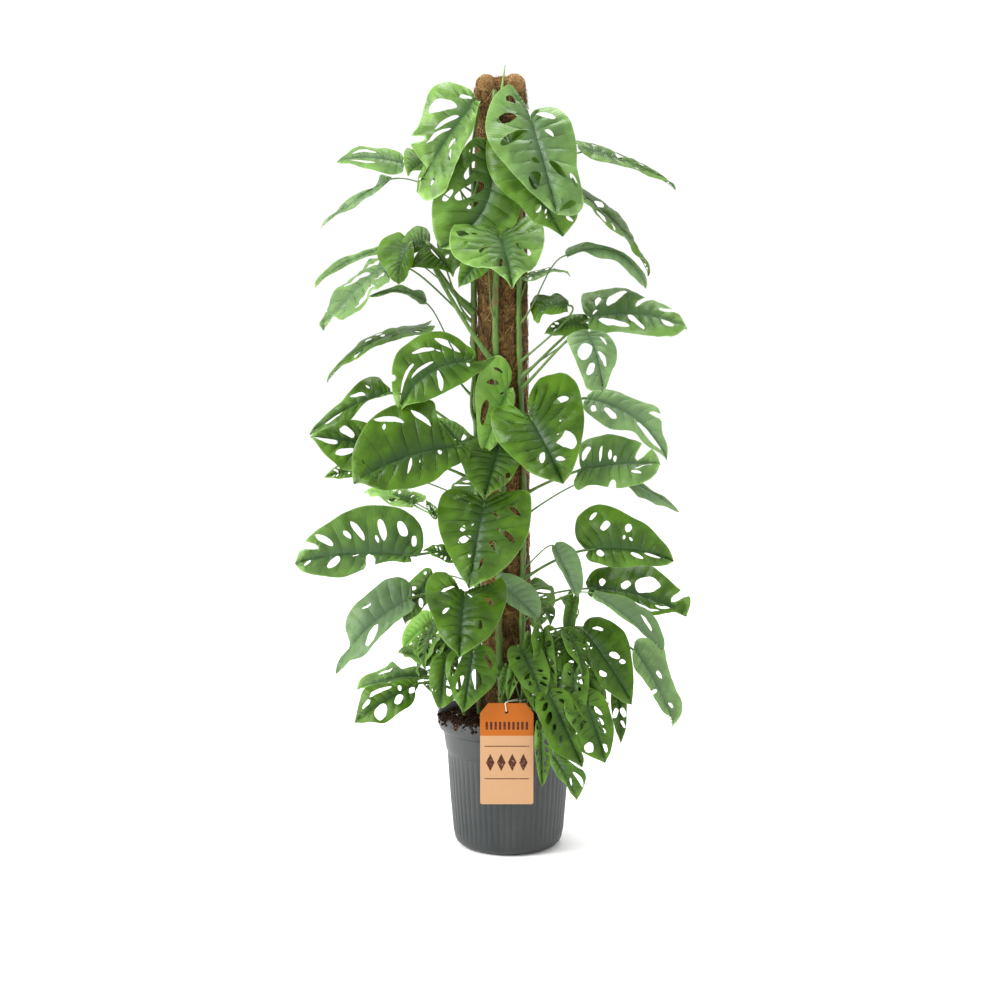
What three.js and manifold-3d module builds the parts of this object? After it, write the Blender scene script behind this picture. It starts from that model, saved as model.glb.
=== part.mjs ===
import * as THREE from "three";
import Module from "manifold-3d";

const wasm = await Module();
wasm.setup();

// Millimetres, Z up. The origin is the centre of the pot's underside.

// Pot: a moulded nursery pot with a rolled rim and a plain band above the wall.
// Both profiles are [radius, height] pairs.
const potSides = 32;
const potOuter = [
  [0, 0], [84, 0], [96, 4], [103, 14], [106, 30], [112.5, 106], [117.5, 185],
  [119.5, 187], [125, 226], [131.5, 231], [136, 240], [136, 254], [133, 259],
];
const potInner = [
  [129.5, 256], [121.5, 224], [114, 184], [109, 106], [102.5, 32], [97, 16], [82, 6], [0, 6],
];
const drainCount = 6;
const drainRadius = 7;
const drainCircle = 66;
const drainSides = 8;

// Soil: fills the pot to just under the rim, a little higher round the pole.
const soilSides = 24;
const soilSideGap = 0.8;
const soilFloorGap = 0.4;
const soilTop = 247;
const soilEdge = 122.5;
const soilEdgeTop = 241;
const soilDome = 8;
const soilLumps = 4;
const soilLumpPitch = 2.1;
const soilRings = [104, 80, 56];

// Climbing pole: a wooden stake inside a thick coir roll, leaning a little to the left.
const poleLean = -0.012;
const poleFoot = 40;
const poleTop = 1432;
const poleRadius = 47;
const poleSides = 20;
const stakeRadius = 14;
const stakeFoot = 6.6;
const stakeTop = 1400;
const stakeSides = 10;
const stakeGap = 0.5;
const boreTop = 1402;

// The coir sheet ends in two rolls that lie across the top of the pole.
const rollRadius = 17;
const rollEndRadius = 9.5;
const rollLength = 74;
const rollOffset = 26;
const rollHeight = 1436;
const rollSteps = 4;
const rollSides = 10;

// Climbing stems: round stems that run up the outside of the coir. "angle" is the place round
// the pole in degrees, "wander" how far the stem strays from it, "taper" the share lost on the way.
const stemToPole = 0.75;
const stemFoot = 205;
const stemSides = 7;
const stemSteps = 11;
const stemTaper = 0.25;
const wanderLength = 90;
const stemPlan = {
  front: { angle: -99, radius: 7, top: 1425, wander: 5 },
  right: { angle: -52, radius: 6, top: 1262, wander: 4 },
  left: { angle: 196, radius: 6.5, top: 1285, wander: 6 },
  back: { angle: 84, radius: 6, top: 1300, wander: 7 },
};

// Rolled new leaf that stands above the front stem.
const spearPoints = [[-16, -56, 1405], [-12, -58, 1430], [-7, -62, 1468]];
const spearRadii = [4, 4, 4, 0.8];
const spearSides = 5;
const spearRoot = 1413;

// Young shoots: short leaning stems out of the soil, given by points.
const shootRadius = 4.5;
const shootTaper = 0.35;
const shootSides = 6;
const shootSteps = 5;
const shootPlan = {
  shoot_left: [[-72, -40, 215], [-88, -30, 280], [-100, -14, 372]],
  shoot_front: [[18, -92, 215], [22, -100, 280], [34, -108, 362]],
};

// Leaves: a thin blade on a round stalk. "left" and "right" are the half widths either side
// of the midrib, "face" is where the upper side looks, "arch" lifts the midrib, "fold" is the
// rise of each half in degrees, "cup" lets the margins droop, "bow" curves the midrib sideways
// and "lobe" stretches the lobes beside the stalk. "from" and "at" are the stem and the height
// that the stalk grows from, and "bend" swings the stalk aside.
const bladeThick = 1.2;
const stalkRadius = 3;
const youngStalkRadius = 2.2;
const stalkFootShare = 1.15;
const stalkTipShare = 0.8;
const stalkSides = 4;
const stalkSteps = 4;
const stalkMeets = 0.07;
const stalkLeaves = { outward: 0.5, aim: 0.5, rise: 0.7 };
const stalkReach = { first: 0.35, back: 0.25, under: 0.12 };
const growGap = 0.35;
const soilLeafFoot = [74, -52, 215];

const leafPlan = [
  {
    name: "leaf_top_front", from: "front", at: 1395,
    base: [35, -120, 1375], tip: [85, -185, 1205], face: [0.1, -1, 0.15],
    left: 82, right: 82, arch: 12, fold: 8, cup: 10, lobe: 1.1,
  },
  {
    name: "leaf_top_under", from: "front", at: 1366,
    base: [0, -95, 1355], tip: [95, -140, 1165], face: [-0.1, -1, 0.3],
    left: 66, right: 66, arch: 15, fold: 8, cup: 10,
  },
  {
    name: "leaf_top_left", from: "left", at: 1260,
    base: [-60, -70, 1410], tip: [-140, -90, 1225], face: [-0.55, -0.85, 0.1],
    left: 74, right: 64, arch: 14, fold: 24, cup: 6, lobe: 0.7,
  },
  {
    name: "leaf_top_left_inner", from: "left", at: 1180,
    base: [-20, -80, 1340], tip: [-125, -105, 1150], face: [0, -1, 0.2],
    left: 72, right: 78, arch: 10, fold: 8, cup: 8, bow: 26, lobe: 0.8,
  },
  {
    name: "leaf_top_heart", from: "front", at: 1080,
    base: [-15, -135, 1170], tip: [5, -240, 1075], face: [0, -0.6, 0.8],
    left: 88, right: 84, arch: 16, fold: 8, cup: 12, lobe: 1.2,
  },
  {
    name: "leaf_top_right_strap", from: "right", at: 1240,
    base: [140, 10, 1320], tip: [315, 50, 1250], face: [0.2, -0.3, 1],
    left: 46, right: 46, arch: 8, fold: 8, cup: 8, lobe: 0.8, young: true,
  },
  {
    name: "leaf_right_lacy", from: "right", at: 1150,
    base: [125, -25, 1240], tip: [265, 10, 1090], face: [0.55, -0.25, 0.8],
    left: 62, right: 62, arch: 14, fold: 8, cup: 6, lobe: 0.8,
  },
  {
    name: "leaf_right_arch", from: "right", at: 1000,
    base: [100, -45, 1125], tip: [255, -15, 1070], face: [0.1, -0.05, 1],
    left: 42, right: 46, arch: 26, fold: 8, cup: 8, lobe: 0.6, young: true,
  },
  {
    name: "leaf_left_high", from: "left", at: 1240,
    base: [-190, -15, 1300], tip: [-320, 45, 1300], face: [-0.1, -0.35, 0.95],
    left: 52, right: 52, arch: 10, fold: 10, cup: 4, lobe: 0.8, young: true,
  },
  {
    name: "leaf_left_high_low", from: "left", at: 1200,
    base: [-235, 20, 1275], tip: [-355, 45, 1175], face: [-0.6, 0.1, 0.8],
    left: 42, right: 42, arch: 2, fold: 6, cup: 4, lobe: 0.6, young: true,
  },
  {
    name: "leaf_left_curled", from: "left", at: 1020,
    base: [-185, -70, 1145], tip: [-250, -120, 1055], face: [-0.25, -0.75, 0.6],
    left: 56, right: 54, arch: 22, fold: -16, cup: 4, lobe: 1.3, young: true,
  },
  {
    name: "leaf_left_long", from: "left", at: 1030,
    base: [-235, 25, 1140], tip: [-370, 70, 1065], face: [-0.3, 0.05, 1],
    left: 38, right: 38, arch: 12, fold: 10, cup: 4, lobe: 0.6, young: true,
  },
  {
    name: "leaf_left_wing", from: "left", at: 1000,
    base: [-225, -20, 1115], tip: [-345, -35, 985], face: [-0.65, -0.35, 0.7],
    left: 55, right: 55, arch: 10, fold: 8, cup: 6, lobe: 0.8, young: true,
  },
  {
    name: "leaf_left_arch", from: "left", at: 900,
    base: [-150, -10, 1035], tip: [-260, -55, 1050], face: [0, 0.05, 1],
    left: 40, right: 40, arch: 18, fold: 10, cup: 6, lobe: 0.8, young: true,
  },
  {
    name: "leaf_left_strip", from: "left", at: 860,
    base: [-165, -10, 990], tip: [-340, -25, 895], face: [-0.4, -0.2, 0.9],
    left: 50, right: 46, arch: 20, fold: 8, cup: 8, young: true,
  },
  {
    name: "leaf_left_big", from: "left", at: 820,
    base: [-105, -90, 940], tip: [-200, -145, 850], face: [-0.1, -0.95, 0.35],
    left: 86, right: 60, arch: 14, fold: 8, cup: 10, lobe: 1.6,
  },
  {
    name: "leaf_left_mid_up", from: "left", at: 780,
    base: [-220, -10, 870], tip: [-370, -35, 795], face: [-0.3, -0.4, 0.85],
    left: 56, right: 56, arch: 12, fold: 8, cup: 8, lobe: 0.9,
  },
  {
    name: "leaf_left_mid_low", from: "left", at: 700,
    base: [-225, -75, 770], tip: [-360, -115, 800], face: [-0.1, -0.9, 0.45],
    left: 52, right: 58, arch: 10, fold: 8, cup: 8, lobe: 0.8,
  },
  {
    name: "leaf_left_mid_front", from: "left", at: 705,
    base: [-115, -135, 795], tip: [-275, -195, 725], face: [0, -0.95, 0.35],
    left: 86, right: 74, arch: 12, fold: 8, cup: 10, bow: -14,
  },
  {
    name: "leaf_left_mid_pale", pale: true, from: "left", at: 600,
    base: [-180, 30, 655], tip: [-280, 95, 670], face: [0, -0.2, 1],
    left: 42, right: 42, arch: 8, fold: 8, cup: 4, lobe: 0.6, young: true,
  },
  {
    name: "leaf_left_low_wide", from: "left", at: 560,
    base: [-215, -65, 580], tip: [-395, -115, 570], face: [-0.05, -0.95, 0.35],
    left: 88, right: 44, arch: 10, fold: 6, cup: 10, lobe: 1.7,
  },
  {
    name: "leaf_left_low_glossy", from: "left", at: 470,
    base: [-210, -35, 480], tip: [-315, -60, 355], face: [-0.5, -0.7, 0.5],
    left: 52, right: 54, arch: 14, fold: 14, cup: 4, lobe: 1.2,
  },
  {
    name: "leaf_left_low_inner", from: "left", at: 500,
    base: [-145, 20, 515], tip: [-200, 10, 425], face: [-0.4, -0.7, 0.6],
    left: 34, right: 34, arch: 8, fold: 8, cup: 4, lobe: 0.8, young: true,
  },
  {
    name: "leaf_left_low_front", from: "front", at: 440,
    base: [-75, -125, 520], tip: [-85, -225, 415], face: [0, -0.65, 0.75],
    left: 80, right: 72, arch: 14, fold: 8, cup: 10, lobe: 1.1,
  },
  {
    name: "leaf_left_pot_leaf", from: "shoot_left", at: 300,
    base: [-160, -55, 335], tip: [-285, -100, 260], face: [-0.2, -0.8, 0.6],
    left: 48, right: 44, arch: 10, fold: 6, cup: 6, lobe: 0.8,
  },
  {
    name: "leaf_left_back_pale", pale: true, from: "back", at: 430,
    base: [-150, 120, 410], tip: [-210, 120, 350], face: [-0.3, -0.7, 0.6],
    left: 32, right: 32, arch: 6, fold: 6, cup: 2, lobe: 0.8, young: true,
  },
  {
    name: "leaf_low_left_hang", from: "front", at: 350,
    base: [-80, -115, 420], tip: [-80, -165, 300], face: [0.1, -0.95, 0.3],
    left: 46, right: 60, arch: 8, fold: 8, cup: 6, lobe: 0.8,
  },
  {
    name: "leaf_centre_low", from: "front", at: 560,
    base: [-50, -110, 690], tip: [-70, -180, 535], face: [0, -0.95, 0.3],
    left: 78, right: 96, arch: 14, fold: 8, cup: 12,
  },
  {
    name: "leaf_centre_mid_back", from: "front", at: 700,
    base: [-15, -65, 775], tip: [-45, -120, 685], face: [0, -0.65, 0.75],
    left: 66, right: 76, arch: 12, fold: 6, cup: 10,
  },
  {
    name: "leaf_centre_right", from: "right", at: 740,
    base: [40, -125, 855], tip: [95, -190, 725], face: [0.1, -0.95, 0.3],
    left: 80, right: 76, arch: 14, fold: 6, cup: 12, lobe: 1.5,
  },
  {
    name: "leaf_centre_new", pale: true, from: "front", at: 830,
    base: [-20, -65, 940], tip: [-50, -75, 760], face: [0, -1, 0.1],
    left: 36, right: 34, arch: 8, fold: 14, cup: 2, young: true,
  },
  {
    name: "leaf_centre_glossy", from: "front", at: 480,
    base: [-10, -70, 525], tip: [60, -95, 460], face: [-0.3, -0.65, 0.75],
    left: 30, right: 28, arch: 8, fold: 10, cup: 2, young: true,
  },
  {
    name: "leaf_right_high", from: "right", at: 900,
    base: [145, -45, 1015], tip: [325, -75, 995], face: [0.05, -0.62, 0.78],
    left: 66, right: 64, arch: 12, fold: 6, cup: 10, lobe: 0.9,
  },
  {
    name: "leaf_right_curled", from: "right", at: 930,
    base: [125, -70, 1020], tip: [45, -65, 1040], face: [-0.1, -0.5, 0.85],
    left: 42, right: 40, arch: 20, fold: -16, cup: 4, lobe: 1.2, young: true,
  },
  {
    name: "leaf_right_high_hang", from: "right", at: 880,
    base: [140, -110, 990], tip: [145, -160, 875], face: [0.25, -0.85, 0.45],
    left: 46, right: 60, arch: 14, fold: 12, cup: 6,
  },
  {
    name: "leaf_right_mid_up", from: "right", at: 780,
    base: [150, -15, 865], tip: [285, -45, 765], face: [0.35, -0.35, 0.9],
    left: 54, right: 52, arch: 12, fold: 10, cup: 6, lobe: 0.9,
  },
  {
    name: "leaf_right_mid", from: "right", at: 680,
    base: [130, -60, 740], tip: [280, -85, 755], face: [0, -0.75, 0.65],
    left: 62, right: 42, arch: 10, fold: 6, cup: 8, lobe: 0.8,
  },
  {
    name: "leaf_right_mid_strap", from: "right", at: 640,
    base: [150, -40, 715], tip: [315, -75, 660], face: [0.2, -0.02, 1],
    left: 44, right: 44, arch: 16, fold: 8, cup: 6, lobe: 0.8, young: true,
  },
  {
    name: "leaf_right_low_wide", from: "right", at: 520,
    base: [140, -45, 580], tip: [305, -65, 565], face: [0, -0.95, 0.35],
    left: 92, right: 40, arch: 10, fold: 6, cup: 10, lobe: 1.2,
  },
  {
    name: "leaf_right_low", from: "right", at: 470,
    base: [150, -50, 505], tip: [335, -80, 455], face: [0.1, -0.7, 0.7],
    left: 64, right: 44, arch: 12, fold: 6, cup: 8, lobe: 0.9,
  },
  {
    name: "leaf_right_low_hang", from: "right", at: 440,
    base: [175, -130, 505], tip: [285, -155, 400], face: [0.35, -0.6, 0.7],
    left: 40, right: 40, arch: 10, fold: 8, cup: 6, lobe: 0.8, young: true,
  },
  {
    name: "leaf_right_narrow", from: "right", at: 540,
    base: [90, -75, 590], tip: [130, -100, 500], face: [-0.35, -0.75, 0.5],
    left: 28, right: 28, arch: 6, fold: 6, cup: 2, lobe: 0.8, young: true,
  },
  {
    name: "leaf_pot_right_dark", from: "right", at: 400,
    base: [145, -70, 440], tip: [230, -120, 300], face: [0.2, -0.85, 0.5],
    left: 62, right: 50, arch: 12, fold: 6, cup: 8,
  },
  {
    name: "leaf_pot_right_light", from: "right", at: 380,
    base: [235, -20, 380], tip: [315, -50, 240], face: [0.5, -0.6, 0.6],
    left: 46, right: 44, arch: 10, fold: 10, cup: 6,
  },
  {
    name: "leaf_pot_right_low", from: "right", at: 330,
    base: [145, -140, 335], tip: [180, -170, 200], face: [0.15, -0.95, 0.3],
    left: 42, right: 40, arch: 8, fold: 6, cup: 6, lobe: 0.9,
  },
  {
    name: "leaf_pot_front_low", from: "soil", at: 270,
    base: [70, -180, 245], tip: [125, -200, 140], face: [0.1, -0.85, 0.5],
    left: 38, right: 44, arch: 10, fold: 6, cup: 6, lobe: 0.9, young: true,
    bend: [-4, 28, 100],
  },
  {
    name: "leaf_back_high", from: "back", at: 1210, young: true,
    base: [20, 105, 1300], tip: [45, 195, 1195], face: [0.1, 0.7, 0.7],
    left: 56, right: 58, arch: 12, fold: 8, cup: 6,
  },
  {
    name: "leaf_back_mid", from: "back", at: 640, young: true,
    base: [-45, 120, 690], tip: [-80, 215, 575], face: [-0.1, 0.7, 0.7],
    left: 60, right: 56, arch: 12, fold: 8, cup: 6,
  },
];

// Small leaves that belong to a climbing stem or to a young shoot, grown in one with it.
const smallPlan = [
  {
    name: "scale", grows: "stem_right", from: "right", at: 1045, young: true,
    base: [42, -35, 1080], tip: [110, 15, 1100], face: [0, -0.3, 1],
    left: 24, right: 24, arch: 10, fold: 8, cup: 3,
  },
  {
    name: "back_top", grows: "stem_back", from: "back", at: 1090, young: true,
    base: [-70, 110, 1185], tip: [-110, 195, 1080], face: [-0.3, 0.6, 0.7],
    left: 54, right: 52, arch: 12, fold: 8, cup: 6,
  },
  {
    name: "back_upper", grows: "stem_back", from: "back", at: 900, young: true,
    base: [-20, 120, 975], tip: [-25, 210, 870], face: [0, 0.7, 0.7],
    left: 52, right: 54, arch: 12, fold: 8, cup: 6,
  },
  {
    name: "back_centre", grows: "stem_back", from: "back", at: 760, young: true,
    base: [50, 115, 840], tip: [85, 205, 735], face: [0.2, 0.7, 0.7],
    left: 54, right: 54, arch: 12, fold: 8, cup: 6,
  },
  {
    name: "back_low", grows: "stem_back", from: "back", at: 400, young: true,
    base: [35, 120, 480], tip: [60, 205, 370], face: [0.1, 0.7, 0.7],
    left: 50, right: 52, arch: 12, fold: 8, cup: 6,
  },
  {
    name: "left_a", grows: "shoot_left", from: "shoot_left", at: 330, young: true,
    base: [-165, 20, 350], tip: [-285, 0, 315], face: [-0.1, -0.5, 0.85],
    left: 40, right: 36, arch: 8, fold: 8, cup: 4,
  },
  {
    name: "left_b", grows: "shoot_left", from: "shoot_left", at: 350, young: true,
    base: [-140, 45, 355], tip: [-215, 70, 360], face: [-0.2, -0.4, 0.9],
    left: 30, right: 28, arch: 6, fold: 8, cup: 3,
  },
  {
    name: "left_c", grows: "shoot_left", from: "shoot_left", at: 366, young: true,
    base: [-120, -66, 388], tip: [-122, -76, 290], face: [-0.8, -0.4, 0.2],
    left: 26, right: 26, arch: 6, fold: 8, cup: 3,
  },
  {
    name: "front_a", grows: "shoot_front", from: "shoot_front", at: 350, young: true,
    base: [25, -125, 405], tip: [65, -160, 315], face: [0.1, -0.8, 0.5],
    left: 34, right: 34, arch: 8, fold: 8, cup: 4,
  },
  {
    name: "front_b", grows: "shoot_front", from: "shoot_front", at: 320, young: true,
    base: [80, -128, 350], tip: [98, -140, 262], face: [0.15, -0.9, 0.4],
    left: 34, right: 34, arch: 8, fold: 8, cup: 4,
  },
  {
    name: "front_c", grows: "shoot_front", from: "shoot_front", at: 290, young: true,
    base: [60, -152, 264], tip: [62, -152, 150], face: [0, -0.95, 0.3],
    left: 13, right: 20, arch: 6, fold: 8, cup: 3, bend: [16, 0, 6],
  },
];

// Tag: a card with chamfered top corners, hung from a cotton loop round the front shoot.
const tagWidth = 99;
const tagHeight = 193;
const tagThick = 1;
const tagLeft = -53;
const tagBottom = 114;
const tagBack = -136.35;
const tagChamferX = 15;
const tagChamferZ = 19;
const tagCorner = 4;
const tagCornerCut = 1;
const tagHole = { x: -4, z: 290, radius: 3, sides: 10 };
const stringRadius = 0.8;
const stringSides = 5;
const stringSteps = 26;
const stringGap = 0.4;
const stringKnotHeight = 304;
const knotSlack = 0.9;

const plasticGrey = { color: 0x6b7073, roughness: 0.45, metalness: 0 };
const soilBrown = { color: 0x2f1e12, roughness: 1, metalness: 0 };
const coirBrown = { color: 0x7a4a26, roughness: 1, metalness: 0 };
const stakeWood = { color: 0xb08a5a, roughness: 0.8, metalness: 0 };
const stemGreen = { color: 0x5d8a45, roughness: 0.5, metalness: 0 };
const leafGreen = { color: 0x44802e, roughness: 0.42, metalness: 0 };
const youngGreen = { color: 0x7fb052, roughness: 0.42, metalness: 0 };
const tagPaper = { color: 0xf6cfa0, roughness: 0.7, metalness: 0 };
const cottonWhite = { color: 0xe8e0d2, roughness: 0.9, metalness: 0 };

const toRadians = Math.PI / 180;
const fullTurn = 2 * Math.PI;
const vec = (p) => new THREE.Vector3(p[0], p[1], p[2]);
const blend = (a, b, share) => a + (b - a) * share;

function solidFrom(points, triangles) {
  const vertProperties = new Float32Array(points.flatMap((p) => [p.x, p.y, p.z]));
  const triVerts = new Uint32Array(triangles.flat());
  return new wasm.Manifold(new wasm.Mesh({ numProp: 3, vertProperties, triVerts }));
}

function meshFrom(name, solid, look) {
  const data = solid.getMesh();
  const geometry = new THREE.BufferGeometry();
  geometry.setAttribute("position", new THREE.BufferAttribute(data.vertProperties, 3));
  geometry.setIndex(new THREE.BufferAttribute(data.triVerts, 1));
  geometry.computeVertexNormals();
  const mesh = new THREE.Mesh(geometry, new THREE.MeshStandardMaterial(look));
  mesh.name = name;
  return mesh;
}

function largest(solid) {
  const parts = solid.decompose();
  return parts.reduce((best, part) => (part.volume() > best.volume() ? part : best));
}

// A ring of points round a centre, in the plane of two unit vectors.
function ringRound(centre, side, other, radius, sides) {
  const ring = [];
  for (let k = 0; k < sides; k++) {
    const turn = (k / sides) * fullTurn;
    const p = centre.clone().addScaledVector(side, radius * Math.cos(turn));
    ring.push(p.addScaledVector(other, radius * Math.sin(turn)));
  }
  return ring;
}

// The two triangles of every side between ring i and ring j.
function band(i, j, sides) {
  const triangles = [];
  for (let k = 0; k < sides; k++) {
    const next = (k + 1) % sides;
    const a = i * sides + k;
    const b = i * sides + next;
    const c = j * sides + next;
    const d = j * sides + k;
    triangles.push([a, b, c], [a, c, d]);
  }
  return triangles;
}

// A round bar along points; each end is closed with a fan. The radius may change along it.
function bar(points, radii, sides) {
  const last = points.length - 1;
  const steepest = 0.2;
  const rings = [];
  let side = null;
  points.forEach((p, i) => {
    const before = points[Math.max(0, i - 1)];
    const after = points[Math.min(last, i + 1)];
    const along = after.clone().sub(before).normalize();
    if (!side) {
      side = new THREE.Vector3(0, 0, 1).cross(along);
      if (side.length() < steepest) side = new THREE.Vector3(1, 0, 0).cross(along);
    }
    side.addScaledVector(along, -side.dot(along)).normalize();
    rings.push(...ringRound(p, side, along.clone().cross(side), radii[i], sides));
  });
  const triangles = [];
  for (let i = 0; i < last; i++) triangles.push(...band(i, i + 1, sides));
  const end = last * sides;
  for (let k = 1; k < sides - 1; k++) {
    triangles.push([0, k + 1, k]);
    triangles.push([end, end + k, end + k + 1]);
  }
  return solidFrom(rings, triangles);
}

// A round cord whose last point joins its first. "across" is never parallel to the cord.
function loop(points, radius, sides, across) {
  const count = points.length;
  const rings = [];
  const triangles = [];
  points.forEach((p, i) => {
    const next = (i + 1) % count;
    const along = points[next].clone().sub(points[(i + count - 1) % count]).normalize();
    const side = across.clone().cross(along).normalize();
    rings.push(...ringRound(p, side, along.clone().cross(side), radius, sides));
    triangles.push(...band(i, next, sides));
  });
  return solidFrom(rings, triangles);
}

// A round body from a closed profile of [radius, height] pairs that starts and ends on the axis.
function turned(profile, sides) {
  const points = [];
  const across = new THREE.Vector3(1, 0, 0);
  const deep = new THREE.Vector3(0, 1, 0);
  const rows = profile.map(([radius, height]) => {
    const centre = new THREE.Vector3(0, 0, height);
    const ring = radius === 0 ? [centre] : ringRound(centre, across, deep, radius, sides);
    points.push(...ring);
    return ring.map((p, k) => points.length - ring.length + k);
  });
  const triangles = [];
  for (let i = 0; i < rows.length - 1; i++) {
    const low = rows[i];
    const high = rows[i + 1];
    for (let k = 0; k < sides; k++) {
      const next = (k + 1) % sides;
      const highNext = high.length > 1 ? high[next] : high[0];
      const lowHere = low.length > 1 ? low[k] : low[0];
      if (low.length > 1) triangles.push([low[k], low[next], highNext]);
      if (high.length > 1) triangles.push([lowHere, high[next], high[k]]);
    }
  }
  return solidFrom(points, triangles);
}

// A sheet from its faces: the same faces on both sides, and a wall wherever a face has no neighbour.
function sheet(points, faces, up, thick) {
  const count = points.length;
  const upper = points.map((p) => p.clone().addScaledVector(up, thick / 2));
  const lower = points.map((p) => p.clone().addScaledVector(up, -thick / 2));
  const triangles = [];
  const edges = new Set();
  for (const [a, b, c] of faces) {
    triangles.push([a, b, c], [a + count, c + count, b + count]);
    edges.add(`${a},${b}`).add(`${b},${c}`).add(`${c},${a}`);
  }
  for (const edge of edges) {
    const [a, b] = edge.split(",").map(Number);
    if (edges.has(`${b},${a}`)) continue;
    triangles.push([b, a, a + count], [b, a + count, b + count]);
  }
  return solidFrom(upper.concat(lower), triangles);
}

// The pole
function poleAxis(height) {
  return new THREE.Vector3(poleLean * (height - poleFoot), 0, height);
}

function leaningBar(foot, top, radius, sides) {
  return bar([poleAxis(foot), poleAxis(top)], [radius, radius], sides);
}

function coirSolid() {
  const body = leaningBar(poleFoot, poleTop, poleRadius, poleSides);
  let coir = body.subtract(leaningBar(0, boreTop, stakeRadius + stakeGap, stakeSides));
  for (const sign of [-1, 1]) {
    const points = [];
    const radii = [];
    for (let i = 0; i <= rollSteps; i++) {
      const p = poleAxis(rollHeight);
      p.x += sign * rollOffset;
      p.y += (i / rollSteps - 0.5) * rollLength;
      points.push(p);
      radii.push(i === 0 || i === rollSteps ? rollEndRadius : rollRadius);
    }
    coir = coir.add(bar(points, radii, rollSides));
  }
  return coir;
}

// Climbing stems and young shoots
function stemPoint(name, height) {
  const stem = stemPlan[name];
  const angle = (stem.angle + Math.sin(height / wanderLength) * stem.wander) * toRadians;
  const reach = poleRadius + stem.radius + stemToPole;
  const p = poleAxis(height);
  p.x += Math.cos(angle) * reach;
  p.y += Math.sin(angle) * reach;
  return p;
}

function stemBar(name, extra) {
  const stem = stemPlan[name];
  const points = [];
  const radii = [];
  for (let i = 0; i <= stemSteps; i++) {
    const share = i / stemSteps;
    points.push(stemPoint(name, blend(stemFoot, stem.top, share)));
    radii.push(stem.radius * (1 - stemTaper * share) + extra);
  }
  points[0].z -= extra;
  return bar(points, radii, stemSides);
}

function spearSolid() {
  const points = [stemPoint("front", spearRoot)].concat(spearPoints.map(vec));
  return bar(points, spearRadii, spearSides);
}

function shootAt(name, share) {
  return new THREE.CatmullRomCurve3(shootPlan[name].map(vec)).getPoint(share);
}

function shootBar(name, extra) {
  const points = [];
  const radii = [];
  for (let i = 0; i <= shootSteps; i++) {
    const share = i / shootSteps;
    points.push(shootAt(name, share));
    radii.push(shootRadius * (1 - shootTaper * share) + extra);
  }
  points[0].z -= extra;
  return bar(points, radii, shootSides);
}

// The point of a shoot's axis at a height, found by halving.
function shootPoint(name, height) {
  const halvings = 20;
  let low = 0;
  let high = 1;
  for (let i = 0; i < halvings; i++) {
    const middle = (low + high) / 2;
    if (shootAt(name, middle).z < height) low = middle;
    else high = middle;
  }
  return shootAt(name, low);
}

// Leaf blades
function leafFrame(plan) {
  const base = vec(plan.base);
  const along = vec(plan.tip).sub(base);
  const length = along.length();
  along.normalize();
  const up = vec(plan.face);
  up.addScaledVector(along, -up.dot(along)).normalize();
  const side = up.clone().cross(along);
  return { base, along, up, side, length };
}

// A point of the blade: t runs from 0 at the stalk to 1 at the tip, across in millimetres.
function leafPoint(plan, frame, t, across) {
  const half = across > 0 ? plan.right : plan.left;
  const share = Math.abs(across) / half;
  const curve = t >= 0 ? 4 * t * (1 - t) : 2 * t;
  const fold = plan.fold * toRadians;
  const lift = plan.arch * curve + Math.abs(across) * Math.sin(fold) - plan.cup * share * share;
  const p = frame.base.clone().addScaledVector(frame.along, frame.length * t);
  p.addScaledVector(frame.up, lift);
  return p.addScaledVector(frame.side, across * Math.cos(fold) + (plan.bow || 0) * curve);
}

// Rows run out from the midrib along the side veins: "mid" is where a row leaves the midrib and
// "edge" where it meets the margin, as [t, share of the half width]. A hole lies before its row.
const fullRows = [
  { mid: 0.03, edge: [-0.13, 0.42] },
  { mid: 0.12, edge: [0.04, 0.86] },
  { mid: 0.32, edge: [0.3, 1], hole: true },
  { mid: 0.42, edge: [0.48, 0.93] },
  { mid: 0.64, edge: [0.76, 0.55], hole: true },
];
const youngRows = [
  { mid: 0.03, edge: [-0.13, 0.42] },
  { mid: 0.16, edge: [0.08, 0.9] },
  { mid: 0.4, edge: [0.44, 0.96], hole: true },
  { mid: 0.6, edge: [0.74, 0.58] },
];
const columns = [0, 0.22, 0.74, 1];
const holeColumn = 1;

function bladeSolid(plan) {
  const frame = leafFrame(plan);
  const rows = plan.young ? youngRows : fullRows;
  const points = [];
  const index = new Map();
  const vertex = (row, sign, column) => {
    const isTip = row === rows.length;
    let key = `${row},${sign},${column}`;
    if (column === 0) key = `${row}`;
    if (isTip) key = "tip";
    if (!index.has(key)) {
      let t = 1;
      let across = 0;
      if (!isTip) {
        const { mid, edge } = rows[row];
        const edgeT = edge[0] < 0 ? edge[0] * (plan.lobe || 1) : edge[0];
        const half = sign > 0 ? plan.right : plan.left;
        t = blend(mid, edgeT, columns[column]);
        across = sign * half * edge[1] * columns[column];
      }
      points.push(leafPoint(plan, frame, t, across));
      index.set(key, points.length - 1);
    }
    return index.get(key);
  };
  const faces = [];
  const cell = (row, sign, column) => {
    const a = vertex(row, sign, column);
    const b = vertex(row + 1, sign, column);
    const c = vertex(row + 1, sign, column + 1);
    const d = vertex(row, sign, column + 1);
    const made = b === c ? [[a, b, d]] : [[a, b, c], [a, c, d]];
    for (const face of made) faces.push(sign > 0 ? face : face.reverse());
  };
  for (let row = 0; row < rows.length; row++) {
    const holed = row + 1 < rows.length && rows[row + 1].hole;
    for (const sign of [-1, 1]) {
      for (let column = 0; column < columns.length - 1; column++) {
        if (!holed || column !== holeColumn) cell(row, sign, column);
      }
    }
  }
  return sheet(points, faces, frame.up, bladeThick);
}

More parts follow.
